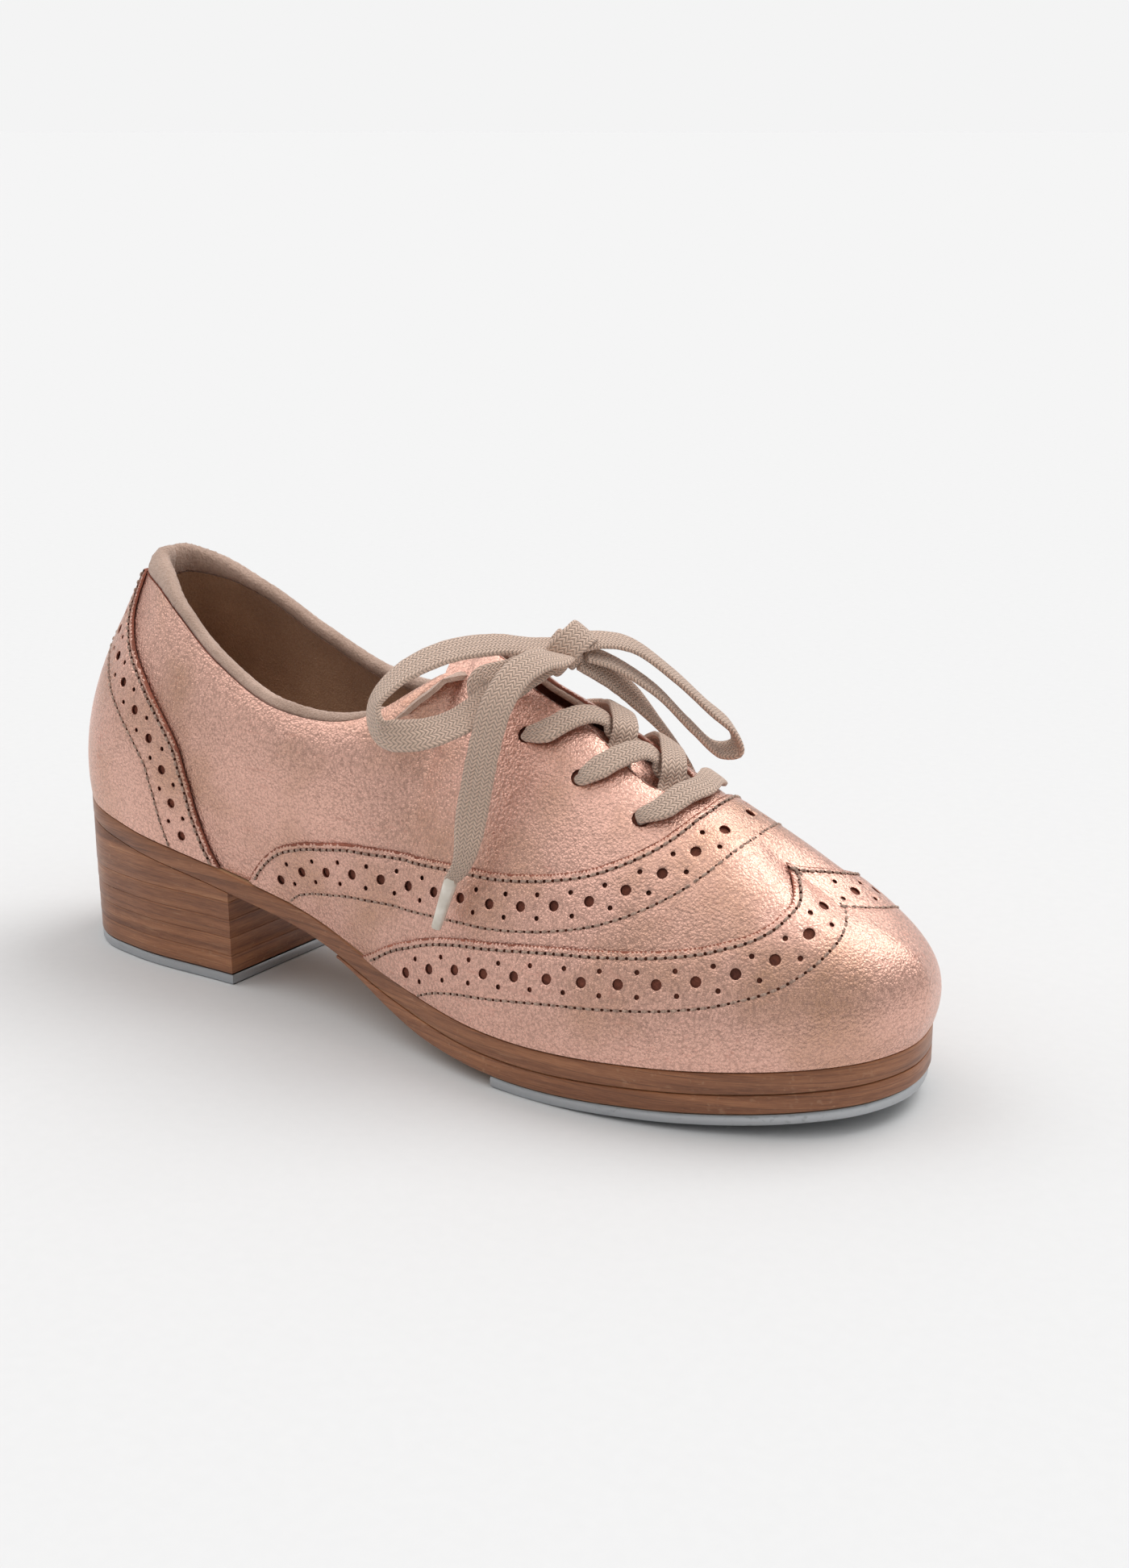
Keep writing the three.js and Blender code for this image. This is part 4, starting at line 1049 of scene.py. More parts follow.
def sole_layer(name, span, inset, bottom, top, materials, edge, stations=150):
    """A sole, lift or tap: rounded edge all round, flat or curved top and bottom, one closed solid."""
    u0, u1 = span
    whole_back, whole_front = u0 <= 0, u1 >= 1
    u = mix(u0, u1, (1 - np.cos(np.linspace(0, math.pi, stations + 1))) / 2)
    if whole_back:
        u = u[1:]
    if whole_front:
        u = u[:-1]
    lateral = outline_point(station(u, -1), inset)
    medial = outline_point(station(u, 1), inset)
    loop = [lateral]
    if whole_front:
        loop.append(outline_point(np.array([0.5]), inset))
    loop.append(medial[::-1])
    if whole_back:
        loop.append(outline_point(np.array([0.0]), inset))
    loop = np.concatenate(loop)[:, :2]
    step = np.roll(loop, -1, axis=0) - loop
    step /= np.linalg.norm(step, axis=1, keepdims=True)
    turn = step + np.roll(step, 1, axis=0)
    turn /= np.linalg.norm(turn, axis=1, keepdims=True)
    out = np.stack([turn[:, 1], -turn[:, 0]], -1)
    area = (loop[:, 0] * np.roll(loop[:, 1], -1) - loop[:, 1] * np.roll(loop[:, 0], -1)).sum()
    if area < 0:
        out = -out
    rings = [
        (FACE_INSET, 0), (edge, 0), (edge * 0.3, edge * 0.3), (0, edge),
        (0, -edge), (edge * 0.3, -edge * 0.3), (edge, 0), (FACE_INSET, 0),
    ]
    verts, count = [], len(loop)
    for k, (inward, level) in enumerate(rings):
        p = loop - out * inward
        z = (bottom(p[:, 0]) + level) if k < 4 else (top(p[:, 0]) + level)
        verts.append(np.stack([p[:, 0], p[:, 1], z + np.zeros(count)], -1))
    faces, slots = [], []
    for r in range(len(rings) - 1):
        for k in range(count):
            a, b = r * count + k, r * count + (k + 1) % count
            faces.append((a, b, b + count, a + count) if area > 0 else (a, a + count, b + count, b))
            slots.append(0 if 0 < r < len(rings) - 2 else 1)
    n = len(lateral)
    last = (len(rings) - 1) * count

    def cap(offset, up):
        other = [n + (1 if whole_front else 0) + (n - 1 - k) for k in range(n)]
        for k in range(n - 1):
            quad = (k, k + 1, other[k + 1], other[k])
            faces.append(tuple(offset + q for q in (quad if up else quad[::-1])))
            slots.append(1)
        tips = [(n - 1, n, other[n - 1])] if whole_front else []
        tips += [(0, other[0], count - 1)] if whole_back else []
        for tip in tips:
            faces.append(tuple(offset + q for q in (tip if up else tip[::-1])))
            slots.append(1)

    cap(0, area < 0)
    cap(last, area > 0)
    obj = new_object(name, metres(np.concatenate(verts)), faces, materials, slots)
    face_outwards(obj)
    shade(obj, 35)
    return obj


def swept(name, rings, materials, angle, body="shoe"):
    """A closed solid through rings of points, capped at both ends."""
    faces = walls(len(rings), len(rings[0]))
    obj = new_object(name, metres(np.concatenate(rings)), faces, materials, None, body)
    face_outwards(obj)
    shade(obj, angle)
    return obj


# ---- Shader helpers and shared effects ----


def put(tree, kind, inputs=None, **settings):
    node = tree.nodes.new(kind)
    for name, value in settings.items():
        setattr(node, name, value)
    for key, value in (inputs or {}).items():
        socket = node.inputs[key]
        if isinstance(value, bpy.types.NodeSocket):
            tree.links.new(value, socket)
        else:
            socket.default_value = value
    return node


def calc(tree, operation, *values):
    node = tree.nodes.new("ShaderNodeMath")
    node.operation = operation
    for k, value in enumerate(values):
        if isinstance(value, bpy.types.NodeSocket):
            tree.links.new(value, node.inputs[k])
        else:
            node.inputs[k].default_value = value
    return node.outputs[0]


def add(tree, a, b):
    return calc(tree, "ADD", a, b)


def minus(tree, a, b):
    return calc(tree, "SUBTRACT", a, b)


def times(tree, a, b):
    return calc(tree, "MULTIPLY", a, b)


def blend_colour(tree, factor, a, b, mode="MIX"):
    node = tree.nodes.new("ShaderNodeMix")
    node.data_type = "RGBA"
    node.blend_type = mode
    for index, value in ((0, factor), (6, a), (7, b)):
        if isinstance(value, bpy.types.NodeSocket):
            tree.links.new(value, node.inputs[index])
        else:
            node.inputs[index].default_value = value
    return node.outputs[2]


def spread(tree, value, low, high, start, end):
    node = put(
        tree, "ShaderNodeMapRange",
        {"Value": value, "From Min": low, "From Max": high, "To Min": start, "To Max": end},
    )
    return node.outputs["Result"]


def toned(colour, share):
    """A lighter or darker tone of a colour."""
    return tuple(min(c * share, 1) for c in colour[:3]) + (1,)


def linear(red, green, blue):
    """A colour given in 0 to 255 as a linear one."""
    channels = [c / 255 for c in (red, green, blue)]
    return (*[c / 12.92 if c <= 0.04045 else ((c + 0.055) / 1.055) ** 2.4 for c in channels], 1)


def make_group(name, inputs, outputs, build):
    tree = bpy.data.node_groups.new(name, "ShaderNodeTree")
    for label, default in inputs:
        socket = tree.interface.new_socket(label, in_out="INPUT", socket_type="NodeSocketFloat")
        socket.default_value = default
    for label in outputs:
        tree.interface.new_socket(label, in_out="OUTPUT", socket_type="NodeSocketFloat")
    source = tree.nodes.new("NodeGroupInput")
    sink = tree.nodes.new("NodeGroupOutput")
    for label, value in build(tree, source.outputs).items():
        tree.links.new(value, sink.inputs[label])
    return tree


def place(tree):
    return tree.nodes.new("ShaderNodeTexCoord").outputs["Object"]


def noise(tree, scale, detail=4, roughness=0.5, where=None, distortion=0.0):
    return put(
        tree, "ShaderNodeTexNoise",
        {"Vector": where or place(tree), "Scale": scale, "Detail": detail, "Roughness": roughness,
         "Distortion": distortion},
    ).outputs["Fac"]


def stretched(tree, scale):
    mapping = put(tree, "ShaderNodeMapping", {"Vector": place(tree), "Scale": scale})
    return mapping.outputs["Vector"]


def build_pebble(tree, inputs):
    where = place(tree)
    wobble = put(tree, "ShaderNodeTexNoise", {"Vector": where, "Scale": 700.0, "Detail": 2.0})
    shifted = put(
        tree, "ShaderNodeMix", {0: 0.0012, 4: where, 5: wobble.outputs["Color"]}, data_type="VECTOR"
    ).outputs[1]
    cells = put(
        tree, "ShaderNodeTexVoronoi", {"Vector": shifted, "Scale": inputs["Grain Scale"]}, feature="F1"
    ).outputs["Distance"]
    pebbles = minus(tree, 1.0, cells)
    fine = noise(tree, times(tree, inputs["Grain Scale"], 2.3), 3, 0.6, where)
    broad = noise(tree, inputs["Crease Scale"], 4, 0.62, where, 0.6)
    creases = calc(tree, "ABSOLUTE", minus(tree, broad, 0.5))
    creases = times(tree, creases, inputs["Crease Depth"])
    grain = add(tree, times(tree, pebbles, 0.6), times(tree, fine, 0.5))
    patch = noise(tree, 34.0, 3, 0.5, where)
    return {"Height": add(tree, grain, creases), "Tone": patch, "Speckle": fine, "Pits": cells}


def build_nap(tree, inputs):
    long_fibres = noise(tree, inputs["Fibre Scale"], 5, 0.7)
    short = put(
        tree, "ShaderNodeTexVoronoi", {"Vector": place(tree), "Scale": inputs["Fibre Scale"]}, feature="F1"
    ).outputs["Distance"]
    broad = noise(tree, 60.0, 3, 0.5)
    height = add(tree, long_fibres, times(tree, short, 0.5))
    return {"Height": height, "Tone": times(tree, add(tree, long_fibres, broad), 0.5)}


def build_braid(tree, inputs):
    """A herringbone of yarns: columns across the lace, each slanting against its neighbour."""
    weave = put(tree, "ShaderNodeAttribute", attribute_name="weave").outputs["Vector"]
    split = put(tree, "ShaderNodeSeparateXYZ", {"Vector": weave})
    across = calc(tree, "DIVIDE", split.outputs["X"], inputs["Yarn Width"])
    along = calc(tree, "DIVIDE", split.outputs["Y"], inputs["Yarn Length"])
    lean = calc(tree, "PINGPONG", across, 1.0)
    slanted = add(tree, along, times(tree, lean, 0.9))
    run = calc(tree, "FRACT", add(tree, slanted, 100.0))
    folded = calc(tree, "ABSOLUTE", minus(tree, times(tree, run, 2.0), 1.0))
    ridge = minus(tree, 1.0, folded)
    ridge = calc(tree, "POWER", ridge, 0.55)
    column = calc(tree, "PINGPONG", across, 0.5)
    groove = calc(tree, "ABSOLUTE", calc(tree, "SINE", times(tree, across, math.pi)))
    groove = calc(tree, "POWER", groove, 0.35)
    height = times(tree, ridge, add(tree, times(tree, groove, 0.7), 0.3))
    fluff = noise(tree, 2600.0, 3, 0.7)
    height = add(tree, height, times(tree, fluff, 0.35))
    # the tone follows the weave's height: painted shade in the grooves between yarns and painted highlight on
    # their crests
    tone = add(tree, times(tree, height, 0.6), times(tree, column, 0.1))
    return {"Height": height, "Tone": tone}


def build_streaks(tree, inputs):
    """Long fibres and pressed layers, as on the waxed edge of stacked leather."""
    fibres = noise(tree, inputs["Streak Scale"], 6, 0.65, stretched(tree, (0.5, 0.5, 11)), 0.05)
    fine = noise(tree, 260.0, 4, 0.6, stretched(tree, (1, 1, 16)))
    height = put(tree, "ShaderNodeSeparateXYZ", {"Vector": place(tree)}).outputs["Z"]
    wander = noise(tree, 18.0, 2, 0.5)
    level = add(tree, height, times(tree, wander, inputs["Layer Wander"]))
    sheets = calc(tree, "FRACT", calc(tree, "DIVIDE", add(tree, level, 1.0), inputs["Layer Pitch"]))
    line = calc(tree, "LESS_THAN", sheets, 0.07)
    tone = add(tree, times(tree, fibres, 0.65), times(tree, fine, 0.35))
    return {"Tone": tone, "Line": line, "Height": minus(tree, tone, times(tree, line, 0.3))}


def build_scuffs(tree, inputs):
    """Fine scratches and dulled patches, 0 where the finish is whole."""
    lines = noise(tree, 900.0, 2, 0.5, stretched(tree, (0.08, 1, 1)))
    other = noise(tree, 700.0, 2, 0.5, stretched(tree, (1, 0.1, 1)))
    patch = noise(tree, inputs["Patch Scale"], 3, 0.6)
    scratch = times(tree, spread(tree, lines, 0.6, 0.72, 0, 1), spread(tree, patch, 0.45, 0.6, 0, 1))
    across = times(tree, spread(tree, other, 0.62, 0.74, 0, 1), spread(tree, patch, 0.4, 0.6, 0, 1))
    return {"Mask": calc(tree, "MAXIMUM", scratch, across), "Patch": patch}


GROUPS = {}


def make_groups():
    GROUPS["pebble"] = make_group(
        "pebbled_grain", [("Grain Scale", 1500.0), ("Crease Scale", 120.0), ("Crease Depth", 1.5)],
        ["Height", "Tone", "Speckle", "Pits"], build_pebble,
    )
    GROUPS["nap"] = make_group("brushed_nap", [("Fibre Scale", 1800.0)], ["Height", "Tone"], build_nap)
    GROUPS["braid"] = make_group(
        "herringbone_braid", [("Yarn Width", 0.9), ("Yarn Length", 1.0)], ["Height", "Tone"], build_braid
    )
    GROUPS["streaks"] = make_group(
        "pressed_layers", [("Streak Scale", 60.0), ("Layer Pitch", 0.005), ("Layer Wander", 0.0006)],
        ["Tone", "Line", "Height"], build_streaks,
    )
    GROUPS["scuffs"] = make_group("fine_scuffs", [("Patch Scale", 45.0)], ["Mask", "Patch"], build_scuffs)


def use(tree, name, **values):
    node = tree.nodes.new("ShaderNodeGroup")
    node.node_tree = GROUPS[name]
    for key, value in values.items():
        node.inputs[key.replace("_", " ")].default_value = value
    return node.outputs


def bump(tree, height, strength, distance):
    node = put(tree, "ShaderNodeBump", {"Height": height, "Strength": strength, "Distance": distance})
    return node.outputs["Normal"]


def finish_material(name, build, **constants):
    material = bpy.data.materials.new(name)
    material.use_nodes = True
    tree = material.node_tree
    shader = tree.nodes["Principled BSDF"]
    for key, value in constants.items():
        shader.inputs[key.replace("_", " ")].default_value = value
    for key, value in build(tree).items():
        socket = shader.inputs[key]
        if isinstance(value, bpy.types.NodeSocket):
            tree.links.new(value, socket)
        else:
            socket.default_value = value
    return material


def ramp(tree, factor, stops):
    node = put(tree, "ShaderNodeValToRGB", {"Fac": factor})
    elements = node.color_ramp.elements
    while len(elements) < len(stops):
        elements.new(0.5)
    for element, (at, colour) in zip(elements, stops):
        element.position = at
        element.color = colour
    return node.outputs["Color"]


M = {}


def foil_leather(tree, base, depth, creases=1.4):
    pebble = use(tree, "pebble", Grain_Scale=1450.0, Crease_Scale=110.0, Crease_Depth=creases)
    scuffs = use(tree, "scuffs", Patch_Scale=40.0)
    tone = ramp(tree, pebble["Tone"], [
        (0.3, tuple(c * k for c, k in zip(base, (0.74, 0.72, 0.62))) + (1,)), (0.52, base),
        (0.72, toned(base, 1.08)),
    ])
    # painted shade: the colour darkens towards half the base in the valleys between the pebbles of the grain
    valley_shade = spread(tree, pebble["Pits"], 0.35, 0.75, 0, 0.55)
    valley_shaded_tone = blend_colour(tree, valley_shade, tone, toned(base, 0.5))
    worn = blend_colour(tree, times(tree, scuffs["Mask"], 0.18), valley_shaded_tone, linear(190, 110, 95))
    satin = spread(tree, pebble["Speckle"], 0.3, 0.7, 0.22, 0.36)
    rough = add(tree, satin, times(tree, scuffs["Mask"], 0.12))
    return {"Base Color": worn, "Roughness": rough, "Normal": bump(tree, pebble["Height"], depth, 0.00032)}


def make_materials(props):
    leather = tuple(props.leather.colour) + (1,)
    M["leather"] = finish_material(
        "rose_foil_leather", lambda t: foil_leather(t, leather, 0.75), Metallic=0.93, Specular_IOR_Level=0.5
    )

    def raw_edge(tree):
        nap = use(tree, "nap", Fibre_Scale=1500.0)
        colour = ramp(tree, nap["Tone"], [(0.35, linear(112, 62, 46)), (0.65, linear(180, 108, 86))])
        return {"Base Color": colour, "Normal": bump(tree, nap["Height"], 0.8, 0.0003)}

    M["raw"] = finish_material("raw_cut_edge", raw_edge, Roughness=0.9)

    # the floor shut across each punched hole: the leather's reddish brown, darkened as painted shade of the
    # hole
    def shaded_hole_floor(tree):
        nap = use(tree, "nap", Fibre_Scale=1200.0)
        colour = ramp(tree, nap["Tone"], [(0.35, linear(84, 40, 28)), (0.7, linear(150, 84, 62))])
        return {"Base Color": colour, "Normal": bump(tree, nap["Height"], 0.7, 0.0003)}

    M["hole"] = finish_material("punched_hole_painted_shade", shaded_hole_floor, Roughness=0.85)

    def felt(tree, dark, light):
        nap = use(tree, "nap", Fibre_Scale=1700.0)
        colour = ramp(tree, nap["Tone"], [(0.3, dark), (0.7, light)])
        return {"Base Color": colour, "Normal": bump(tree, nap["Height"], 0.9, 0.0004)}

    M["felt"] = finish_material(
        "brushed_felt", lambda t: felt(t, linear(166, 136, 118), linear(222, 190, 172)),
        Roughness=0.95, Sheen_Weight=0.35, Sheen_Roughness=0.5, Specular_IOR_Level=0.2,
    )
    # a darker, browner copy of the same felt for the faces inside the shoe: painted shade
    M["shaded_felt"] = finish_material(
        "brushed_felt_painted_shade", lambda t: felt(t, linear(150, 112, 84), linear(200, 160, 128)),
        Roughness=0.95, Sheen_Weight=0.2, Sheen_Roughness=0.5, Specular_IOR_Level=0.2,
    )

    lace_colour = tuple(props.lacing.colour)

    def lace(tree):
        braid = use(tree, "braid", Yarn_Width=0.9, Yarn_Length=1.0)
        # the braid's tone darkens the lace in its grooves: painted shade
        groove_shade_tones = [(0.1, toned(lace_colour, 0.42)), (0.5, toned(lace_colour, 1.12))]
        colour = ramp(tree, braid["Tone"], groove_shade_tones)
        return {"Base Color": colour, "Normal": bump(tree, braid["Height"], 1.0, 0.0005)}

    M["lace"] = finish_material(
        "braided_cotton", lace, Roughness=0.92, Sheen_Weight=0.3, Sheen_Roughness=0.45,
        Specular_IOR_Level=0.25,
    )

    def thread(tree):
        twist = noise(tree, 1800.0, 2, 0.5, stretched(tree, (1, 1, 0.4)))
        colour = ramp(tree, twist, [(0.35, linear(128, 100, 86)), (0.65, linear(190, 160, 142))])
        return {"Base Color": colour, "Normal": bump(tree, twist, 0.6, 0.0001)}

    M["thread"] = finish_material("twisted_thread", thread, Roughness=0.7, Sheen_Weight=0.2)

    # the needle holes' dark colour: painted shade of the hole
    def needle_hole_painted_shade(tree):
        colour = ramp(tree, noise(tree, 900.0, 2), [(0.3, linear(36, 18, 12)), (0.7, linear(74, 38, 26))])
        return {"Base Color": colour}

    M["needle"] = finish_material("needle_hole_painted_shade", needle_hole_painted_shade, Roughness=1.0, Specular_IOR_Level=0.1)

    def sole_edge(tree, pitch_m, wander):
        streaks = use(tree, "streaks", Streak_Scale=45.0, Layer_Pitch=pitch_m, Layer_Wander=wander)
        scuffs = use(tree, "scuffs", Patch_Scale=60.0)
        colour = ramp(tree, streaks["Tone"], [
            (0.3, linear(94, 54, 34)), (0.45, linear(130, 80, 50)), (0.58, linear(158, 102, 66)),
            (0.74, linear(186, 132, 90)),
        ])
        colour = blend_colour(tree, times(tree, streaks["Line"], 0.35), colour, linear(70, 40, 26))
        colour = blend_colour(tree, times(tree, scuffs["Mask"], 0.3), colour, linear(196, 152, 116))
        rough = spread(tree, streaks["Tone"], 0.3, 0.7, 0.5, 0.36)
        relief = bump(tree, streaks["Height"], 0.35, 0.0003)
        return {"Base Color": colour, "Roughness": rough, "Normal": relief}

    for key, name, pitch_m, wander in (
        ("sole", "waxed_sole_edge", 0.0031, 0.0003), ("heel", "waxed_heel_stack", 0.0025, 0.0004),
    ):
        M[key] = finish_material(
            name, lambda t, p=pitch_m, w=wander: sole_edge(t, p, w), Coat_Weight=0.15, Coat_Roughness=0.4
        )

    def sole_face(tree):
        pebble = use(tree, "pebble", Grain_Scale=900.0, Crease_Scale=60.0, Crease_Depth=0.6)
        scuffs = use(tree, "scuffs", Patch_Scale=30.0)
        colour = ramp(tree, pebble["Tone"], [(0.3, linear(150, 108, 76)), (0.7, linear(188, 146, 108))])
        colour = blend_colour(tree, times(tree, scuffs["Mask"], 0.5), colour, linear(96, 70, 52))
        return {"Base Color": colour, "Normal": bump(tree, pebble["Height"], 0.3, 0.0002)}

    M["sole_face"] = finish_material("sole_leather_face", sole_face, Roughness=0.62)

    def metal(tree, base, low, high):
        grain = noise(tree, 1400.0, 3, 0.6, stretched(tree, (0.12, 1, 1)))
        scuffs = use(tree, "scuffs", Patch_Scale=80.0)
        colour = blend_colour(tree, times(tree, scuffs["Mask"], 0.5), base, toned(base, 0.6))
        satin = spread(tree, grain, 0.3, 0.7, low, high)
        rough = add(tree, satin, times(tree, scuffs["Mask"], 0.1))
        return {"Base Color": colour, "Roughness": rough, "Normal": bump(tree, grain, 0.15, 0.00008)}

    M["tap"] = finish_material(
        "satin_aluminium", lambda t: metal(t, linear(186, 189, 192), 0.3, 0.42), Metallic=0.9
    )
    M["steel"] = finish_material(
        "satin_steel", lambda t: metal(t, linear(176, 178, 182), 0.25, 0.4), Metallic=1.0
    )

    def aglet(tree):
        ripple = noise(tree, 260.0, 3, 0.5)
        colour = ramp(tree, ripple, [(0.3, linear(196, 184, 168)), (0.7, linear(232, 224, 212))])
        return {"Base Color": colour, "Normal": bump(tree, ripple, 0.3, 0.0002)}

    M["aglet"] = finish_material("clear_aglet", aglet, Roughness=0.16, Coat_Weight=0.6, Coat_Roughness=0.08)

    def plain(tree, dark, light, scale):
        pattern = noise(tree, scale, 5, 0.6)
        colour = ramp(tree, pattern, [(0.35, dark), (0.65, light)])
        return {"Base Color": colour, "Normal": bump(tree, pattern, 0.5, 0.0003)}

    for key, name, dark, light, scale, roughness in (
        ("board", "insole_board", linear(140, 112, 84), linear(182, 150, 116), 500.0, 0.85),
        ("cork", "cork_filler", linear(104, 70, 38), linear(176, 134, 84), 350.0, 0.95),
        ("stiffener", "stiffener_board", linear(180, 168, 144), linear(216, 206, 186), 700.0, 0.9),
    ):
        M[key] = finish_material(
            name, lambda t, d=dark, l=light, k=scale: plain(t, d, l, k), Roughness=roughness
        )


# ---- What a user may change ----


class TapShoeLeather(bpy.types.PropertyGroup):
    colour: bpy.props.FloatVectorProperty(
        name="Leather colour", description="Colour of the foil face of the upper", subtype="COLOR",
        size=3, min=0, max=1, default=linear(240, 190, 172)[:3],
    )
    grid: bpy.props.FloatProperty(
        name="Mesh grid", description="Spacing of the leather's mesh, in millimetres", default=2.6,
        min=1.5, max=6,
    )


class TapShoeLacing(bpy.types.PropertyGroup):
    colour: bpy.props.FloatVectorProperty(
        name="Lace colour", description="Colour of the cotton braid", subtype="COLOR", size=3, min=0, max=1,
        default=linear(224, 194, 174)[:3],
    )
    width: bpy.props.FloatProperty(
        name="Lace width", description="Width of the flat lace", default=0.0075, unit="LENGTH",
        subtype="DISTANCE",
    )
    thickness: bpy.props.FloatProperty(
        name="Lace thickness", description="Thickness of the flat lace", default=0.0017, unit="LENGTH",
        subtype="DISTANCE",
    )


class TapShoeSole(bpy.types.PropertyGroup):
    edge_round: bpy.props.FloatProperty(
        name="Edge rounding", description="Rounding along the edges of the sole and its lifts",
        default=0.0004, unit="LENGTH", subtype="DISTANCE",
    )


class TapShoeStage(bpy.types.PropertyGroup):
    floor_colour: bpy.props.FloatVectorProperty(
        name="Floor colour", description="Colour of the plain floor", subtype="COLOR", size=3, min=0, max=1,
        default=(0.7, 0.7, 0.7),
    )
    key_strength: bpy.props.FloatProperty(
        name="Key light", description="Strength of the high soft light", default=1.0, min=0, subtype="FACTOR"
    )
    sky_strength: bpy.props.FloatProperty(
        name="Surround", description="Strength of the room light", default=1.0, min=0, subtype="FACTOR"
    )


class TapShoeSettings(bpy.types.PropertyGroup):
    leather: bpy.props.PointerProperty(type=TapShoeLeather)
    lacing: bpy.props.PointerProperty(type=TapShoeLacing)
    sole: bpy.props.PointerProperty(type=TapShoeSole)
    stage: bpy.props.PointerProperty(type=TapShoeStage)


# ---- The pieces, one operator each ----

QUARTER = (-LEATHER, 0.0)
OVERLAY = (CLEAR, CLEAR + LEATHER)
VAMP = (0.04, LEATHER + 0.04)
WING = (LEATHER + 0.45, 2 * LEATHER + 0.2)
LINING = (-3.9, -2.9)
TONGUE = (-5.8, -4.5)
VAMP_START = 0.2955
WING_START = 0.4355
THROAT = 0.84
ROW_OFF_SEAM = 0.006
HOLE_OFF_SEAM = 0.005
LINING_TOP = 0.64
COLLAR_END = 0.39
LIFT_EDGE = 0.12
LIFT_GAP = 0.06
INSOLE_SPAN = (0.03, 0.97)
INSOLE_INSET = 7.4
FILLER_THICKNESS = 2.2
INSOLE_THICKNESS = 2
SOCK_THICKNESS = 1.2
THIN_EDGE = 0.3
CAMERA_AZIMUTH = 35.5985
CAMERA_ELEVATION = 16.626
CAMERA_TARGET = (132.575, 29.789, 52.949)
CAMERA_DISTANCE = 571.9
CAMERA_LENS = 50.667


def settings():
    return bpy.context.scene.tap_shoe


def looks_along(azimuth, elevation):
    """Right, up and back directions of a viewer at an azimuth and elevation in degrees."""
    a, e = math.radians(azimuth), math.radians(elevation)
    back = np.array([math.sin(a) * math.cos(e), -math.cos(a) * math.cos(e), math.sin(e)])
    right = np.array([math.cos(a), math.sin(a), 0])
    return right, np.cross(back, right), back


class TAPSHOE_OT_stage(bpy.types.Operator):
    """Camera, plain pale floor and soft studio light"""

    bl_idname = "tapshoe.stage"
    bl_label = "Stage"

    def execute(self, context):
        stage = settings().stage
        right, up, back = looks_along(CAMERA_AZIMUTH, CAMERA_ELEVATION)
        data = bpy.data.cameras.new("camera")
        data.lens = CAMERA_LENS
        data.sensor_width = 36
        data.clip_end = 200
        camera = bpy.data.objects.new("camera", data)
        where = metres(np.array(CAMERA_TARGET)) + back * CAMERA_DISTANCE * MM
        turn = Matrix([[right[k], up[k], back[k]] for k in range(3)])
        camera.matrix_world = Matrix.Translation(Vector(where)) @ turn.to_4x4()
        context.scene.collection.objects.link(camera)
        context.scene.camera = camera
        self.floor(stage)
        self.room(context, stage)
        self.lights(context, stage)
        context.scene.view_settings.view_transform = "Standard"
        return {"FINISHED"}

    def floor(self, stage):
        rings, sides, verts, faces = 7, 64, [(0, 0, 0)], []
        for r in range(1, rings + 1):
            radius = 0.3 * 2.2**r
            for k in range(sides):
                angle = k / sides * TURN
                verts.append((radius * math.cos(angle), radius * math.sin(angle), 0))
        for k in range(sides):
            faces.append((0, 1 + k, 1 + (k + 1) % sides))
            for r in range(rings - 1):
                a, b = 1 + r * sides + k, 1 + r * sides + (k + 1) % sides
                faces.append((a, a + sides, b + sides, b))
        mesh = bpy.data.meshes.new("studio_floor")
        mesh.from_pydata(verts, [], faces)
        obj = bpy.data.objects.new("studio_floor", mesh)
        bpy.context.scene.collection.objects.link(obj)
        colour = tuple(stage.floor_colour) + (1,)

        def paper(tree):
            tooth = noise(tree, 300.0, 3, 0.5)
            return {"Base Color": ramp(tree, tooth, [(0.3, toned(colour, 0.985)), (0.7, colour)])}

        mesh.materials.append(finish_material("matt_paper", paper, Roughness=1.0, Specular_IOR_Level=0.0))

    def room(self, context, stage):
        world = bpy.data.worlds.new("studio")
        context.scene.world = world
        world.use_nodes = True
        tree = world.node_tree
        background = tree.nodes["Background"]
        output = tree.nodes["World Output"]
        direction = tree.nodes.new("ShaderNodeTexCoord").outputs["Generated"]
        split = put(tree, "ShaderNodeSeparateXYZ", {"Vector": direction})
        # brightest overhead, dim at eye level towards the outer front
        lift = spread(tree, split.outputs["Z"], 0.22, 0.62, 0.0, 1.0)
        toward = add(tree, times(tree, split.outputs["X"], 0.58), times(tree, split.outputs["Y"], -0.81))
        dim = spread(tree, toward, -0.6, 0.6, 0.55, 0.04)
        strength = add(tree, times(tree, dim, minus(tree, 1.0, lift)), lift)
        tree.links.new(times(tree, strength, stage.sky_strength), background.inputs["Strength"])
        background.inputs["Color"].default_value = (1, 1, 1, 1)
        plain = tree.nodes.new("ShaderNodeBackground")
        plain.inputs["Color"].default_value = (*linear(244, 244, 244)[:3], 1)
        seen = tree.nodes.new("ShaderNodeLightPath").outputs["Is Camera Ray"]
        both = tree.nodes.new("ShaderNodeMixShader")
        tree.links.new(seen, both.inputs[0])
        tree.links.new(background.outputs[0], both.inputs[1])
        tree.links.new(plain.outputs[0], both.inputs[2])
        tree.links.new(both.outputs[0], output.inputs["Surface"])

    def lights(self, context, stage):
        for name, towards, strength, angle in (
            ("key", (0.3, 0.6, 1.0), 1.3, 40), ("fill", (-0.8, -0.3, 0.9), 0.45, 50),
        ):
            data = bpy.data.lights.new(name, "SUN")
            data.energy = strength * stage.key_strength
            data.angle = math.radians(angle)
            light = bpy.data.objects.new(name, data)
            light.rotation_euler = Vector(towards).to_track_quat("Z", "Y").to_euler()
            context.scene.collection.objects.link(light)


def lace_run(route, width=None, ends=(1, 1)):
    lacing = settings().lacing
    return (route, width or lacing.width / MM, lacing.thickness / MM, ends)


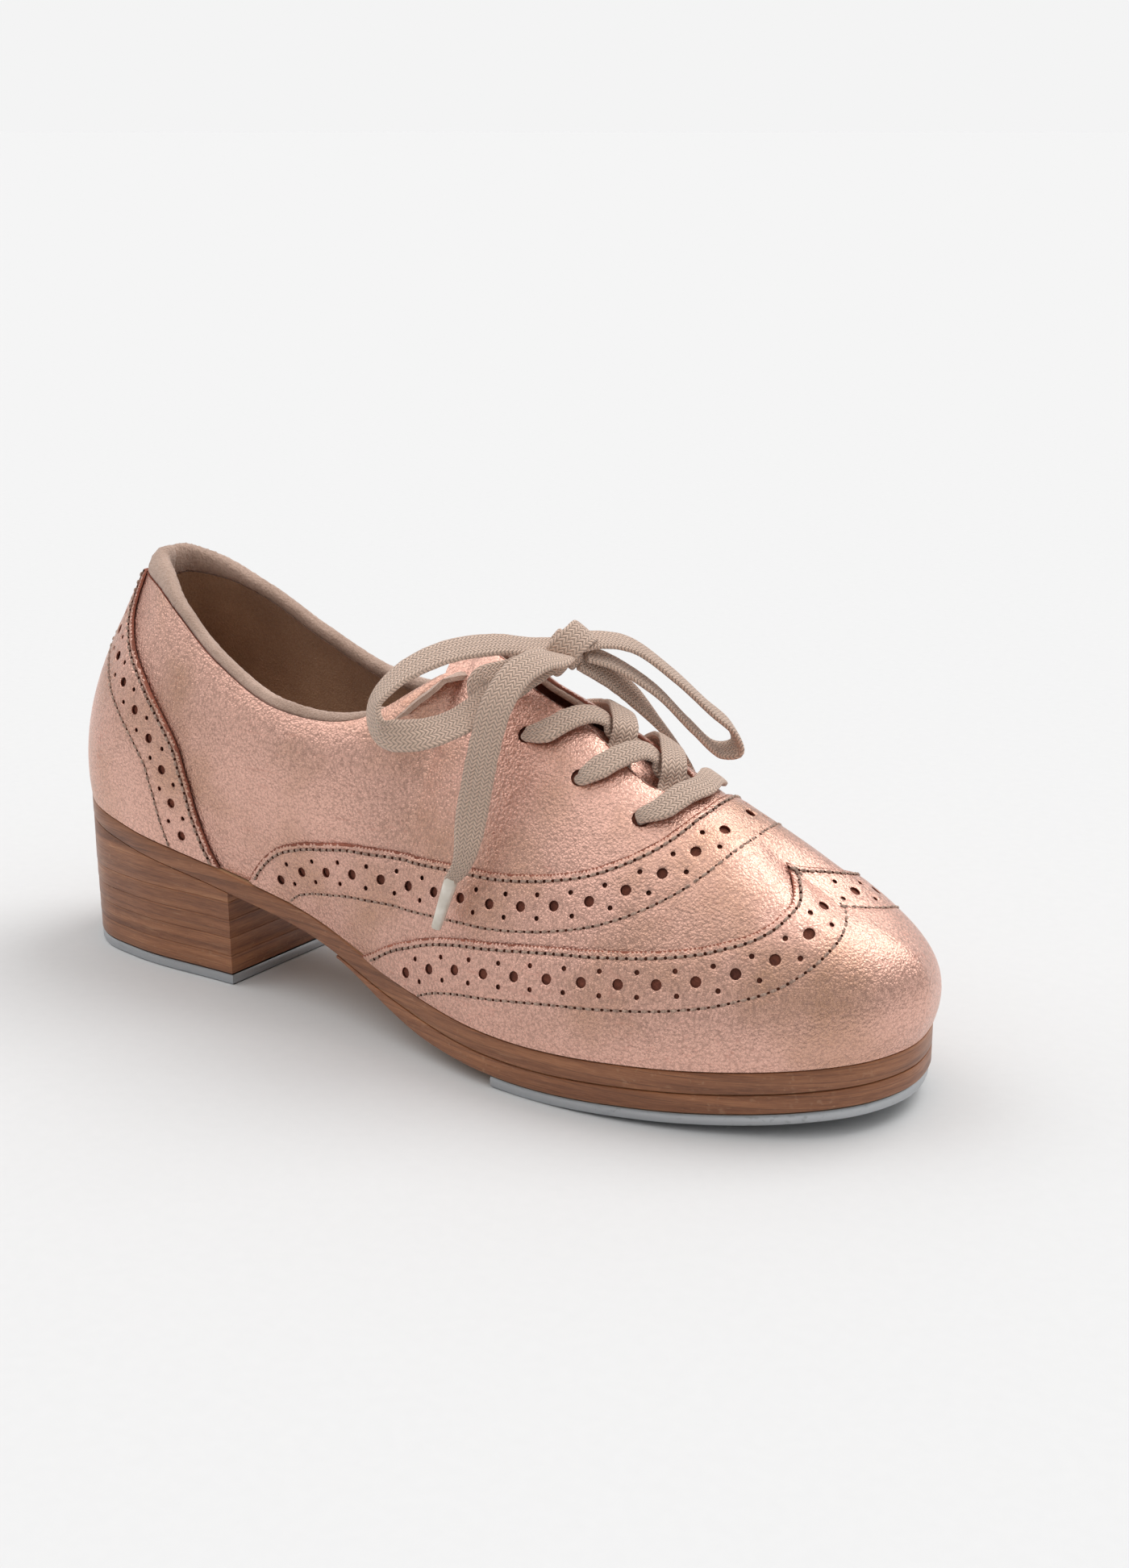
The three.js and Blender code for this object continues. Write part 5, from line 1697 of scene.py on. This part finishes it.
class TAPSHOE_OT_bow(bpy.types.Operator):
    """The two loops and two free ends of the bow, with their aglets"""

    bl_idname = "tapshoe.bow"
    bl_label = "Bow"

    def execute(self, context):
        for name, (start, end) in AGLETS.items():
            self.aglet(name, start, end)
        for name, (points, faces) in BOW.items():
            is_end = name.startswith("lace_end")
            route = lace_route(points, faces)
            run = lace_run(route, None, (1, 0.42) if is_end else (1, 1))
            obj = lace_mesh(f"{name}_braid", [run], [M["lace"]])
            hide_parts(name)
        return {"FINISHED"}

    def aglet(self, name, start, end):
        a, b = np.array(start, float), np.array(end, float)
        axis = (b - a) / np.linalg.norm(b - a)
        side = np.cross(axis, [0, 1, 0])
        side /= np.linalg.norm(side)
        other = np.cross(axis, side)
        length = np.linalg.norm(b - a)
        rings, sides = [], 24
        for share, radius in AGLET_PROFILE:
            ring = []
            for k in range(sides):
                angle = k / sides * TURN
                seam = math.exp(-((angle - 3.3) / 0.16) ** 2)
                fold = 1 + 0.06 * math.cos(angle * 2 + share * 1.3) - 0.07 * seam
                spread_out = side * math.cos(angle) + other * math.sin(angle)
                ring.append(a + axis * length * share + spread_out * radius * fold)
            rings.append(np.array(ring))
        obj = swept(f"{name}_tip", rings, [M["aglet"]], angle=40)
        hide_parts(name)
        return obj


class TAPSHOE_OT_lacing(bpy.types.Operator):
    """Crossed strands through the holes, the bar at the bottom, the ties and the knot"""

    bl_idname = "tapshoe.lacing"
    bl_label = "Lacing"

    def execute(self, context):
        self.bar()
        for row in (1, 2):
            self.crossing_strand(f"lace_under_{row + 1}_lateral", row, -1, UNDER_ROUTE)
            self.crossing_strand(f"lace_over_{row + 1}_medial", row, 1, OVER_ROUTE)
        for name, side in (("lateral", -1), ("medial", 1)):
            self.tie(name, side)
        self.knot()
        return {"FINISHED"}

    def strand(self, name, places, ends):
        points, faces = [p for p, _ in places], [n for _, n in places]
        obj = lace_mesh(f"{name}_braid", [lace_run(lace_route(points, faces), HEM_WIDTH, ends)], [M["lace"]])
        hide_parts(name)
        return obj

    def bar(self):
        places = [over_lacing(-moved, side, share, height) for side, share, height, moved in BAR_ROUTE]
        low = [over_lacing(0, side, 0, TUCK) for side in (-1, 1)]
        self.strand("lace_bar", [low[0], *places, low[1]], (TAPER, TAPER))

    def crossing_strand(self, name, row, side, route):
        places = [over_lacing(row, side, 0, TUCK)]
        for facing, share, height, moved in route:
            places.append(over_lacing(row - moved, side * facing, share, height))
        self.strand(name, places, (TAPER, 1))

    def tie(self, name, side):
        share = float(eyelet_share(reach_of_row(TOP_ROW)))
        n = over_lacing(TOP_ROW, side, 0.85, 0)[1]
        heights = ((0, TUCK), (share, MOUTH), (share + 0.05, 2.3))
        points = [over_lacing(TOP_ROW, side, at, height)[0] for at, height in heights]
        points += [np.array([x, side * y, z]) for x, y, z in TIE]
        self.strand(f"lace_tie_{name}", [(p, n) for p in points], (TAPER, 1))

    def knot(self):
        right, up, back = looks_along(CAMERA_AZIMUTH, CAMERA_ELEVATION)
        axis = right * 0.75 - up * 0.66
        along = right * 0.66 + up * 0.75
        outer, inner = [], []
        for a in np.linspace(-2.1, 2.6, 40):
            c, v = math.cos(a), math.sin(a)
            outer.append((KNOT + along * v * 6.0 + back * c * 4.4 + axis * 0.35 * a, along * v + back * c))
            inner.append((KNOT + axis * v * 3.8 + back * (c * 2.2 - 1) - along * 0.5 * a, axis * v + back * c))
        runs = [
            lace_run(lace_route(*zip(*turns), 0.5), width, (0.8, 0.8))
            for turns, width in ((outer, 7.4), (inner, 4.4))
        ]
        obj = lace_mesh("lace_knot_braid", runs, [M["lace"]])
        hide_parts("lace_knot")


class TAPSHOE_OT_quarters(bpy.types.Operator):
    """The two quarters with their lace holes"""

    bl_idname = "tapshoe.quarters"
    bl_label = "Quarters"

    def execute(self, context):
        grid = settings().leather.grid
        for name, side in (("lateral", -1), ("medial", 1)):
            lap_start = crossing(lambda u: vamp_edge(u) - UNDERLAP, 0.0, 0.296, 0.36)
            facing_top = crossing(facing_edge, 1.0, 0.4, 0.455)
            facing_low = crossing(facing_edge, 1.0, 0.78, 0.82)
            lap = edge_line(vamp_edge, lap_start, THROAT, side, UNDERLAP, 90)
            facing = edge_line(facing_edge, facing_low, facing_top, side, 0, 80)
            bottom = np.stack([station(np.linspace(BACK_SEAM, lap_start, 70)[:-1], side), np.zeros(69)], -1)
            throat = np.stack([station(np.linspace(THROAT, facing_low, 6)[1:-1], side), np.ones(4)], -1)
            top = np.stack([station(np.linspace(facing_top, BACK_SEAM, 90)[1:], side), np.ones(89)], -1)
            back = np.stack([np.full(10, station(BACK_SEAM, side)), np.linspace(1, 0, 12)[1:-1]], -1)
            corner = [[station(THROAT, side), 1.0]]
            loop = np.concatenate([bottom, lap, corner, throat, facing, top, back])
            reaches = [reach_of_row(n) for n in range(TOP_ROW + 1)]
            holes = [(station(u, side), float(eyelet_share(u)), EYELET_RADIUS) for u in reaches]
            edges = [facing[(facing[:, 1] > 0.01) & (facing[:, 1] < 0.999)]]
            obj = leather_layer(
                f"quarter_{name}_leather", loop, edges, [], holes, QUARTER,
                [M["leather"], M["raw"], M["hole"]], grid,
            )
            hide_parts(f"quarter_{name}")
        return {"FINISHED"}


class TAPSHOE_OT_vamp(bpy.types.Operator):
    """The vamp with its punched and stitched band"""

    bl_idname = "tapshoe.vamp"
    bl_label = "Vamp"

    def execute(self, context):
        top = crossing(vamp_edge, 1.0, 0.83, 0.85)
        lap = lambda u: wing_edge(u) - UNDERLAP - 0.05 * smooth((u - 0.85) / 0.1)
        low = crossing(lap, 0.0, 0.44, 0.5)
        upper = edge_line(vamp_edge, VAMP_START, top, -1, 0, 150)
        ridge = np.stack([np.linspace(top, 1, 24)[1:] / 2, np.ones(23)], -1)
        foot = np.stack([np.linspace(VAMP_START, low, 30)[1:-1] / 2, np.zeros(28)], -1)
        lower = np.concatenate([foot, edge_line(lap, low, 1.0, -1, 0, 90)])
        edges = [edge_line(vamp_edge, VAMP_START, top, side, 0, 220) for side in (-1, 1)]
        found = banded(edges, lambda s, t: t < vamp_edge(reach(s)))
        layer_with_band("vamp", both_sides(upper, ridge, lower), *found, VAMP)
        return {"FINISHED"}


class TAPSHOE_OT_wingtip(bpy.types.Operator):
    """The winged toe cap with its punched and stitched band"""

    bl_idname = "tapshoe.wingtip"
    bl_label = "Wingtip"

    def execute(self, context):
        top = crossing(wing_edge, 1.0, 0.96, 1.0)
        upper = edge_line(wing_edge, WING_START, top, -1, 0, 150)
        ridge = np.stack([np.linspace(top, 1, 6)[1:] / 2, np.ones(5)], -1)
        foot = np.stack([np.linspace(WING_START, 1.0, 90)[1:] / 2, np.zeros(89)], -1)
        edges = [edge_line(wing_edge, WING_START, top, side, 0, 240) for side in (-1, 1)]
        found = banded(edges, lambda s, t: t < wing_edge(reach(s)))
        layer_with_band("wingtip", both_sides(upper, ridge, foot), *found, WING)
        return {"FINISHED"}


class TAPSHOE_OT_foxing(bpy.types.Operator):
    """The heel foxing with a punched and stitched band on both sides"""

    bl_idname = "tapshoe.foxing"
    bl_label = "Heel foxing"

    def execute(self, context):
        t = np.linspace(0, 1, 90)
        lateral = np.stack([foxing_edge(t) / 2, t], -1)
        medial = np.stack([-foxing_edge(t) / 2, t], -1)
        across = np.linspace(foxing_edge(1.0) / 2, -foxing_edge(1.0) / 2, 12)
        top = np.stack([across[1:-1], np.ones(10)], -1)
        along = np.linspace(-foxing_edge(0.0) / 2, foxing_edge(0.0) / 2, 60)
        bottom = np.stack([along[1:-1], np.zeros(58)], -1)
        loop = tidy_loop(np.concatenate([lateral, top, medial[::-1], bottom]))
        rows, holes, edges = [], [], []
        for line, side in ((lateral, 1), (medial, -1)):
            fine = even(line, 1.0)
            found, punched = band(fine, lambda s, t: np.abs(s) * 2 < foxing_edge(t))
            edges.append(fine)
            rows += [r[r[:, 0] * side > ROW_OFF_SEAM] for r in found]
            holes += [h for h in punched if h[0] * side > HOLE_OFF_SEAM]
        layer_with_band("heel_foxing", loop, edges, rows, thin_out(holes), OVERLAY)
        return {"FINISHED"}


def both_sides(upper, ridge, lower):
    """The outline of a layer that crosses the middle, from the lines of its outer half."""
    far = [np.stack([1 - line[:, 0], line[:, 1]], -1) for line in (upper, ridge, lower)]
    return tidy_loop(
        np.concatenate([upper, ridge, far[1][::-1][1:], far[0][::-1], far[2], lower[::-1][1:]])
    )


def tidy_loop(loop, gap=0.12):
    """Drops points of an outline that fall on the one before."""
    kept = [loop[0]]
    for p in loop[1:]:
        if np.linalg.norm((p - kept[-1]) * CHART) > gap:
            kept.append(p)
    if np.linalg.norm((kept[0] - kept[-1]) * CHART) <= gap:
        kept.pop()
    return np.array(kept)


def layer_with_band(name, loop, edges, rows, holes, heights):
    rows = [row for row in rows if len(row) > 4]
    obj = leather_layer(
        f"{name}_leather", loop, edges, rows, holes, heights, [M["leather"], M["raw"], M["hole"]],
        settings().leather.grid,
    )
    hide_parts(name)
    seams = stitch_mesh(f"{name}_stitches", rows, heights[1], [M["thread"], M["needle"]])


class TAPSHOE_OT_linings(bpy.types.Operator):
    """Quarter and vamp linings"""

    bl_idname = "tapshoe.linings"
    bl_label = "Linings"

    def execute(self, context):
        for name, side in (("lateral", -1), ("medial", 1)):
            keeps = [
                lambda s, t: reach(s) - BACK_SEAM + 0 * t, lambda s, t: 0.515 - reach(s) + 0 * t,
                lambda s, t: LINING_TOP + smooth((0.47 - reach(s)) / 0.1) * 0.5 - t,
            ]
            obj = trimmed_sheet(
                f"quarter_lining_{name}_felt", keeps, LINING, [M["shaded_felt"], M["shaded_felt"], M["felt"]],
                side=side,
            )
            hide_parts(f"quarter_lining_{name}")
        keeps = [
            lambda s, t: reach(s) - 0.52 + 0 * t,
            lambda s, t: LINING_TOP + smooth((reach(s) - 0.8) / 0.05) * 0.5 - t,
        ]
        obj = trimmed_sheet("vamp_lining_felt", keeps, LINING, [M["shaded_felt"], M["shaded_felt"], M["felt"]])
        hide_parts("vamp_lining")
        return {"FINISHED"}


FACING_FELT = [
    (-5.0, -2.7), (-5.0, -1.5), (-1, -1.35), (0.2, -1.2), (0.75, -1.5), (0.9, -2.0), (0.7, -2.5),
    (0.1, -2.75), (-1, -2.75),
]


class TAPSHOE_OT_collar(bpy.types.Operator):
    """The soft rolled collar and the felt edge along the facings"""

    bl_idname = "tapshoe.collar"
    bl_label = "Collar"

    def execute(self, context):
        rng = np.random.default_rng(11)
        steps, sides, end = 300, 28, COLLAR_END
        rings = []
        for k in range(steps + 1):
            share = mix(-end, end, k / steps)
            u = abs(share)
            s = station(u, -1 if k < steps / 2 else 1)
            n = normal(s, 1.0)
            up = surface(s, 1.0) - surface(s, 0.97)
            up /= np.linalg.norm(up)
            tall = mix(8.6, 3.6, float(smooth(u / 0.17)))
            wide = mix(5.2, 3.7, float(smooth(u / 0.2)))
            centre = lifted(s, 1.0, LINING[0] / 2 - 0.2) + up * (tall / 2 - 0.2)
            close = min(1.0, (end - u) / 0.012 + 0.15)
            ring = []
            for j in range(sides):
                angle = (j + 0.5) / sides * TURN
                c, v = math.cos(angle), math.sin(angle)
                x = math.copysign(abs(c) ** 0.75, c) * wide / 2 * (1 - 0.1 * v)
                z = math.copysign(abs(v) ** 0.85, v) * tall / 2
                pile = 1 + rng.normal(0, 0.03)
                ring.append(centre + (n * x + up * z) * close * pile)
            rings.append(np.array(ring))
        obj = swept("collar_roll", rings, [M["felt"]], angle=80)
        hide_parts("collar_binding")
        for name, side in (("lateral", -1), ("medial", 1)):
            self.facing_edge_felt(name, side, rng)
        return {"FINISHED"}

    def facing_edge_felt(self, name, side, rng):
        """Felt backing of one facing: it shows as a soft line past the cut leather."""
        steps = 150
        u = np.linspace(0.38, 0.8, steps + 1)
        t = np.minimum(facing_edge(u), 1.0)
        s = station(u, side)
        base = surface(s, t)
        tangent = np.gradient(base, axis=0)
        tangent /= np.linalg.norm(tangent, axis=1, keepdims=True)
        n = normal(s, np.minimum(t, 0.999))
        across = np.cross(n, tangent)
        upward = surface(s, np.minimum(t, 1)) - surface(s, t - 0.03)
        across *= np.sign((across * upward).sum(-1))[:, None]
        rings = []
        for k in range(steps + 1):
            ring = []
            close = min(1, k / 6 + 0.2, (steps - k) / 6 + 0.2)
            for a, b in FACING_FELT:
                pile = rng.normal(0, 0.07)
                ring.append(base[k] + across[k] * (a * close + pile) + n[k] * (b + pile * 0.4))
            rings.append(np.array(ring))
        obj = swept(f"facing_felt_{name}", rings, [M["felt"]], angle=60)


class TAPSHOE_OT_tongue(bpy.types.Operator):
    """The tongue, under the facings from the throat past the top of the lacing"""

    bl_idname = "tapshoe.tongue"
    bl_label = "Tongue"

    def execute(self, context):
        share_at = Curve([0.5, 0.7, 0.86], [0.33, 0.31, 0.26])
        rows, across = [], np.linspace(-1, 1, 41)
        stations = [(0.5, f, mix(1, 0.62, f**2.2)) for f in np.linspace(1, 0.08, 12)]
        stations += [(u, 0.0, 1.0) for u in np.linspace(0.5, 0.86, 60)]
        for u, shift, narrow in stations:
            t = 1 - np.abs(across) * float(share_at(u)) * narrow
            s = np.where(across < 0, u / 2, 1 - u / 2)
            base = surface(s, t) + np.array([-1, 0, 0.22]) * 12 * shift
            rows.append((base, normal(s, t)))
        low, high = TONGUE
        rings = [np.concatenate([base + n * low, (base + n * high)[::-1]]) for base, n in rows]
        obj = swept("tongue_leather", rings, [M["leather"], M["shaded_felt"]], body="tongue", angle=40)
        # the underside takes the darker felt copy: painted shade
        for face in obj.data.polygons:
            if face.normal.z < -0.2:
                face.material_index = 1
        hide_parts("tongue")
        return {"FINISHED"}


class TAPSHOE_OT_sole(bpy.types.Operator):
    """Outsole, forefoot layer, sock and insole"""

    bl_idname = "tapshoe.sole"
    bl_label = "Sole"

    def execute(self, context):
        edge = settings().sole.edge_round / MM
        top = lambda x: sole_top(x) - CLEAR
        layers = [
            ("outsole", (0, 1), 0, outsole_bottom, top, "sole", "sole_face", edge, "sole_leather"),
            ("forefoot_sole", (reach_at(FOREFOOT_START), 1), 0, forefoot_bottom,
             lambda x: outsole_bottom(x) - CLEAR * 0.6, "sole", "sole_face", edge, "sole_leather"),
        ]
        filler = lambda x: sole_top(x) + FILLER_THICKNESS
        insole = lambda x: filler(x) + CLEAR + INSOLE_THICKNESS
        layers += [
            ("insole", INSOLE_SPAN, INSOLE_INSET, lambda x: filler(x) + CLEAR, insole,
             "board", "board", THIN_EDGE, "insole_board"),
            ("sock_lining", INSOLE_SPAN, INSOLE_INSET, lambda x: insole(x) + CLEAR,
             lambda x: insole(x) + CLEAR + SOCK_THICKNESS, "shaded_felt", "shaded_felt", THIN_EDGE,
             "felt_lining"),
        ]
        for name, span, inset, bottom, above, rim, face, rounding, slot in layers:
            obj = sole_layer(f"{name}_sheet", span, inset, bottom, above, [M[rim], M[face]], rounding)
            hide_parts(name)
        return {"FINISHED"}


class TAPSHOE_OT_heel(bpy.types.Operator):
    """The stacked heel"""

    bl_idname = "tapshoe.heel"
    bl_label = "Heel"

    def execute(self, context):
        breast = reach_at(HEEL_BREAST)
        base = TAP_THICKNESS + CLEAR
        for n in range(LIFT_COUNT):
            low = base + n * LIFT_PITCH
            high = low + LIFT_PITCH - LIFT_GAP
            obj = sole_layer(
                f"heel_lift_{n + 1}_stack", (0, breast), 0.5 - n * 0.1, lambda x, z=low: z + 0 * x,
                lambda x, z=high: z + 0 * x, [M["heel"], M["heel"]], LIFT_EDGE, 110,
            )
            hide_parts(f"heel_lift_{n + 1}")
        low = base + LIFT_COUNT * LIFT_PITCH
        obj = sole_layer(
            "heel_seat_lift_stack", (0, breast), 0.1, lambda x: low + 0 * x,
            lambda x: outsole_bottom(x) - 0.1, [M["heel"], M["heel"]], LIFT_EDGE, 110,
        )
        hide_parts("heel_seat_lift")
        return {"FINISHED"}


SCREW_PLACES = {
    "toe_tap_screw_back_outer": (TOE_TAP_START + 14, -BALL_WIDTH * 0.26),
    "toe_tap_screw_back_inner": (TOE_TAP_START + 14, BALL_WIDTH * 0.26),
    "toe_tap_screw_front": (SHOE_LENGTH - 18, BALL_WIDTH * 0.05),
    "heel_tap_screw_back": (14, 0),
    "heel_tap_screw_front_outer": (HEEL_BREAST - 15, -HEEL_WIDTH * 0.28),
    "heel_tap_screw_front_inner": (HEEL_BREAST - 15, HEEL_WIDTH * 0.27),
}

SCREW_SIDES = 40
SCREW_SLOT = (9, 1.1, 2.0)
SCREW_PROFILE = [
    (2.9, 0.0), (3.3, 0.05), (3.5, 0.22), (1.6, 1.9), (1.6, 2.6), (1.9, 2.9), (1.5, 3.3), (1.9, 3.9),
    (1.5, 4.3), (1.9, 4.9), (1.5, 5.3), (1.9, 5.9), (1.5, 6.3), (1.8, 6.9), (1.3, 7.3), (1.6, 7.9),
    (1.1, 8.4), (1.3, 8.9), (0.7, 9.6), (0.2, 11),
]
COUNTERSINK = [(3.9, -4), (3.9, 0.2), (1.9, 2.3), (1.9, 6)]


class TAPSHOE_OT_taps(bpy.types.Operator):
    """The two metal taps and their slotted screws"""

    bl_idname = "tapshoe.taps"
    bl_label = "Taps"

    def execute(self, context):
        toe_top = lambda x: forefoot_bottom(x) - CLEAR
        plates = [
            ("toe_tap", (reach_at(TOE_TAP_START), 1), lambda x: toe_top(x) - TAP_THICKNESS, toe_top),
            ("heel_tap", (0, reach_at(HEEL_BREAST)), lambda x: 0 * x, lambda x: TAP_THICKNESS + 0 * x),
        ]
        for name, span, bottom, top in plates:
            obj = sole_layer(f"{name}_plate", span, 0.6, bottom, top, [M["tap"], M["tap"]], 0.6, 130)
            self.drill(obj, [p for n, p in SCREW_PLACES.items() if n.startswith(name)])
            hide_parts(name)
        for name, (x, y) in SCREW_PLACES.items():
            self.screw(name, x, y)
        return {"FINISHED"}

    def base_of(self, x):
        if x < HEEL_BREAST:
            return CLEAR
        low = [float(forefoot_bottom(at)) - CLEAR - TAP_THICKNESS for at in (x - 3.5, x + 3.5)]
        return max(low) + CLEAR

    def drill(self, obj, places):
        for x, y in places:
            self.subtract(obj, self.turned("cutter", x, y, COUNTERSINK, SCREW_SIDES))

    def turned(self, name, x, y, profile, sides):
        base = self.base_of(x)
        verts = []
        for r, z in profile:
            for k in range(sides):
                angle = k / sides * TURN
                verts.append((x + r * math.cos(angle), y + r * math.sin(angle), base + z))
        mesh = bpy.data.meshes.new(name)
        mesh.from_pydata([tuple(v) for v in metres(verts)], [], walls(len(profile), sides))
        obj = bpy.data.objects.new(name, mesh)
        bpy.context.scene.collection.objects.link(obj)
        return obj

    def subtract(self, obj, cutter):
        modifier = obj.modifiers.new("cut", "BOOLEAN")
        modifier.operation = "DIFFERENCE"
        modifier.solver = "EXACT"
        modifier.object = cutter
        shape = obj.evaluated_get(bpy.context.evaluated_depsgraph_get())
        mesh = bpy.data.meshes.new_from_object(shape)
        obj.modifiers.clear()
        old = obj.data
        obj.data = mesh
        bpy.data.meshes.remove(old)
        bpy.data.objects.remove(cutter)

    def screw(self, name, x, y):
        obj = self.turned(f"{name}_body", x, y, SCREW_PROFILE, SCREW_SIDES)
        slot = bpy.data.meshes.new("slot")
        box = bmesh.new()
        bmesh.ops.create_cube(box, size=1)
        for v in box.verts:
            v.co = Vector(tuple(a * b for a, b in zip(v.co, SCREW_SLOT)))
            v.co += Vector((x, y, self.base_of(x)))
            v.co = Vector(tuple(metres(v.co)))
        box.to_mesh(slot)
        box.free()
        cutter = bpy.data.objects.new("slot", slot)
        bpy.context.scene.collection.objects.link(cutter)
        self.subtract(obj, cutter)
        obj.data.materials.clear()
        obj.data.materials.append(M["steel"])
        shade(obj, 35)
        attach(obj, name)
        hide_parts(name)


class TAPSHOE_OT_hidden(bpy.types.Operator):
    """Finishes for the pieces kept inside the shoe"""

    bl_idname = "tapshoe.hidden"
    bl_label = "Inner pieces"

    def execute(self, context):
        finishes = {
            "shank": "steel", "heel_screw": "steel", "cork_filler": "cork", "heel_counter": "stiffener",
            "toe_puff": "stiffener", **{f"heel_nail_{n}": "steel" for n in (1, 2, 3, 4)},
        }
        for name, finish in finishes.items():
            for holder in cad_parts[name].material_slots:
                holder.material = M[finish]
        return {"FINISHED"}


class TAPSHOE_PT_panel(bpy.types.Panel):
    """Lists the pieces of the tap shoe"""

    bl_idname = "TAPSHOE_PT_panel"
    bl_label = "Tap shoe"
    bl_space_type = "VIEW_3D"
    bl_region_type = "UI"
    bl_category = "Tap shoe"

    def draw(self, context):
        column = self.layout.column()
        for operator in PIECES:
            column.operator(operator.bl_idname)
        props = context.scene.tap_shoe
        for group in (props.leather, props.lacing, props.sole, props.stage):
            for key in group.bl_rna.properties.keys():
                if key not in ("rna_type", "name"):
                    column.prop(group, key)


PIECES = (
    TAPSHOE_OT_stage, TAPSHOE_OT_bow, TAPSHOE_OT_lacing, TAPSHOE_OT_quarters, TAPSHOE_OT_vamp,
    TAPSHOE_OT_wingtip, TAPSHOE_OT_foxing, TAPSHOE_OT_linings, TAPSHOE_OT_collar, TAPSHOE_OT_tongue,
    TAPSHOE_OT_sole, TAPSHOE_OT_heel, TAPSHOE_OT_taps, TAPSHOE_OT_hidden,
)
CLASSES = (
    TapShoeLeather, TapShoeLacing, TapShoeSole, TapShoeStage, TapShoeSettings, *PIECES, TAPSHOE_PT_panel,
)


def register():
    for cls in CLASSES:
        bpy.utils.register_class(cls)
    bpy.types.Scene.tap_shoe = bpy.props.PointerProperty(type=TapShoeSettings)


def unregister():
    del bpy.types.Scene.tap_shoe
    for cls in reversed(CLASSES):
        bpy.utils.unregister_class(cls)


def clear_default_objects():
    for name in ("Cube", "Light", "Camera"):
        if name in bpy.data.objects:
            bpy.data.objects.remove(bpy.data.objects[name])


def main():
    register()
    clear_default_objects()
    make_groups()
    make_materials(settings())
    for operator in PIECES:
        module, name = operator.bl_idname.split(".")
        getattr(getattr(bpy.ops, module), name)()


if __name__ == "__main__":
    main()
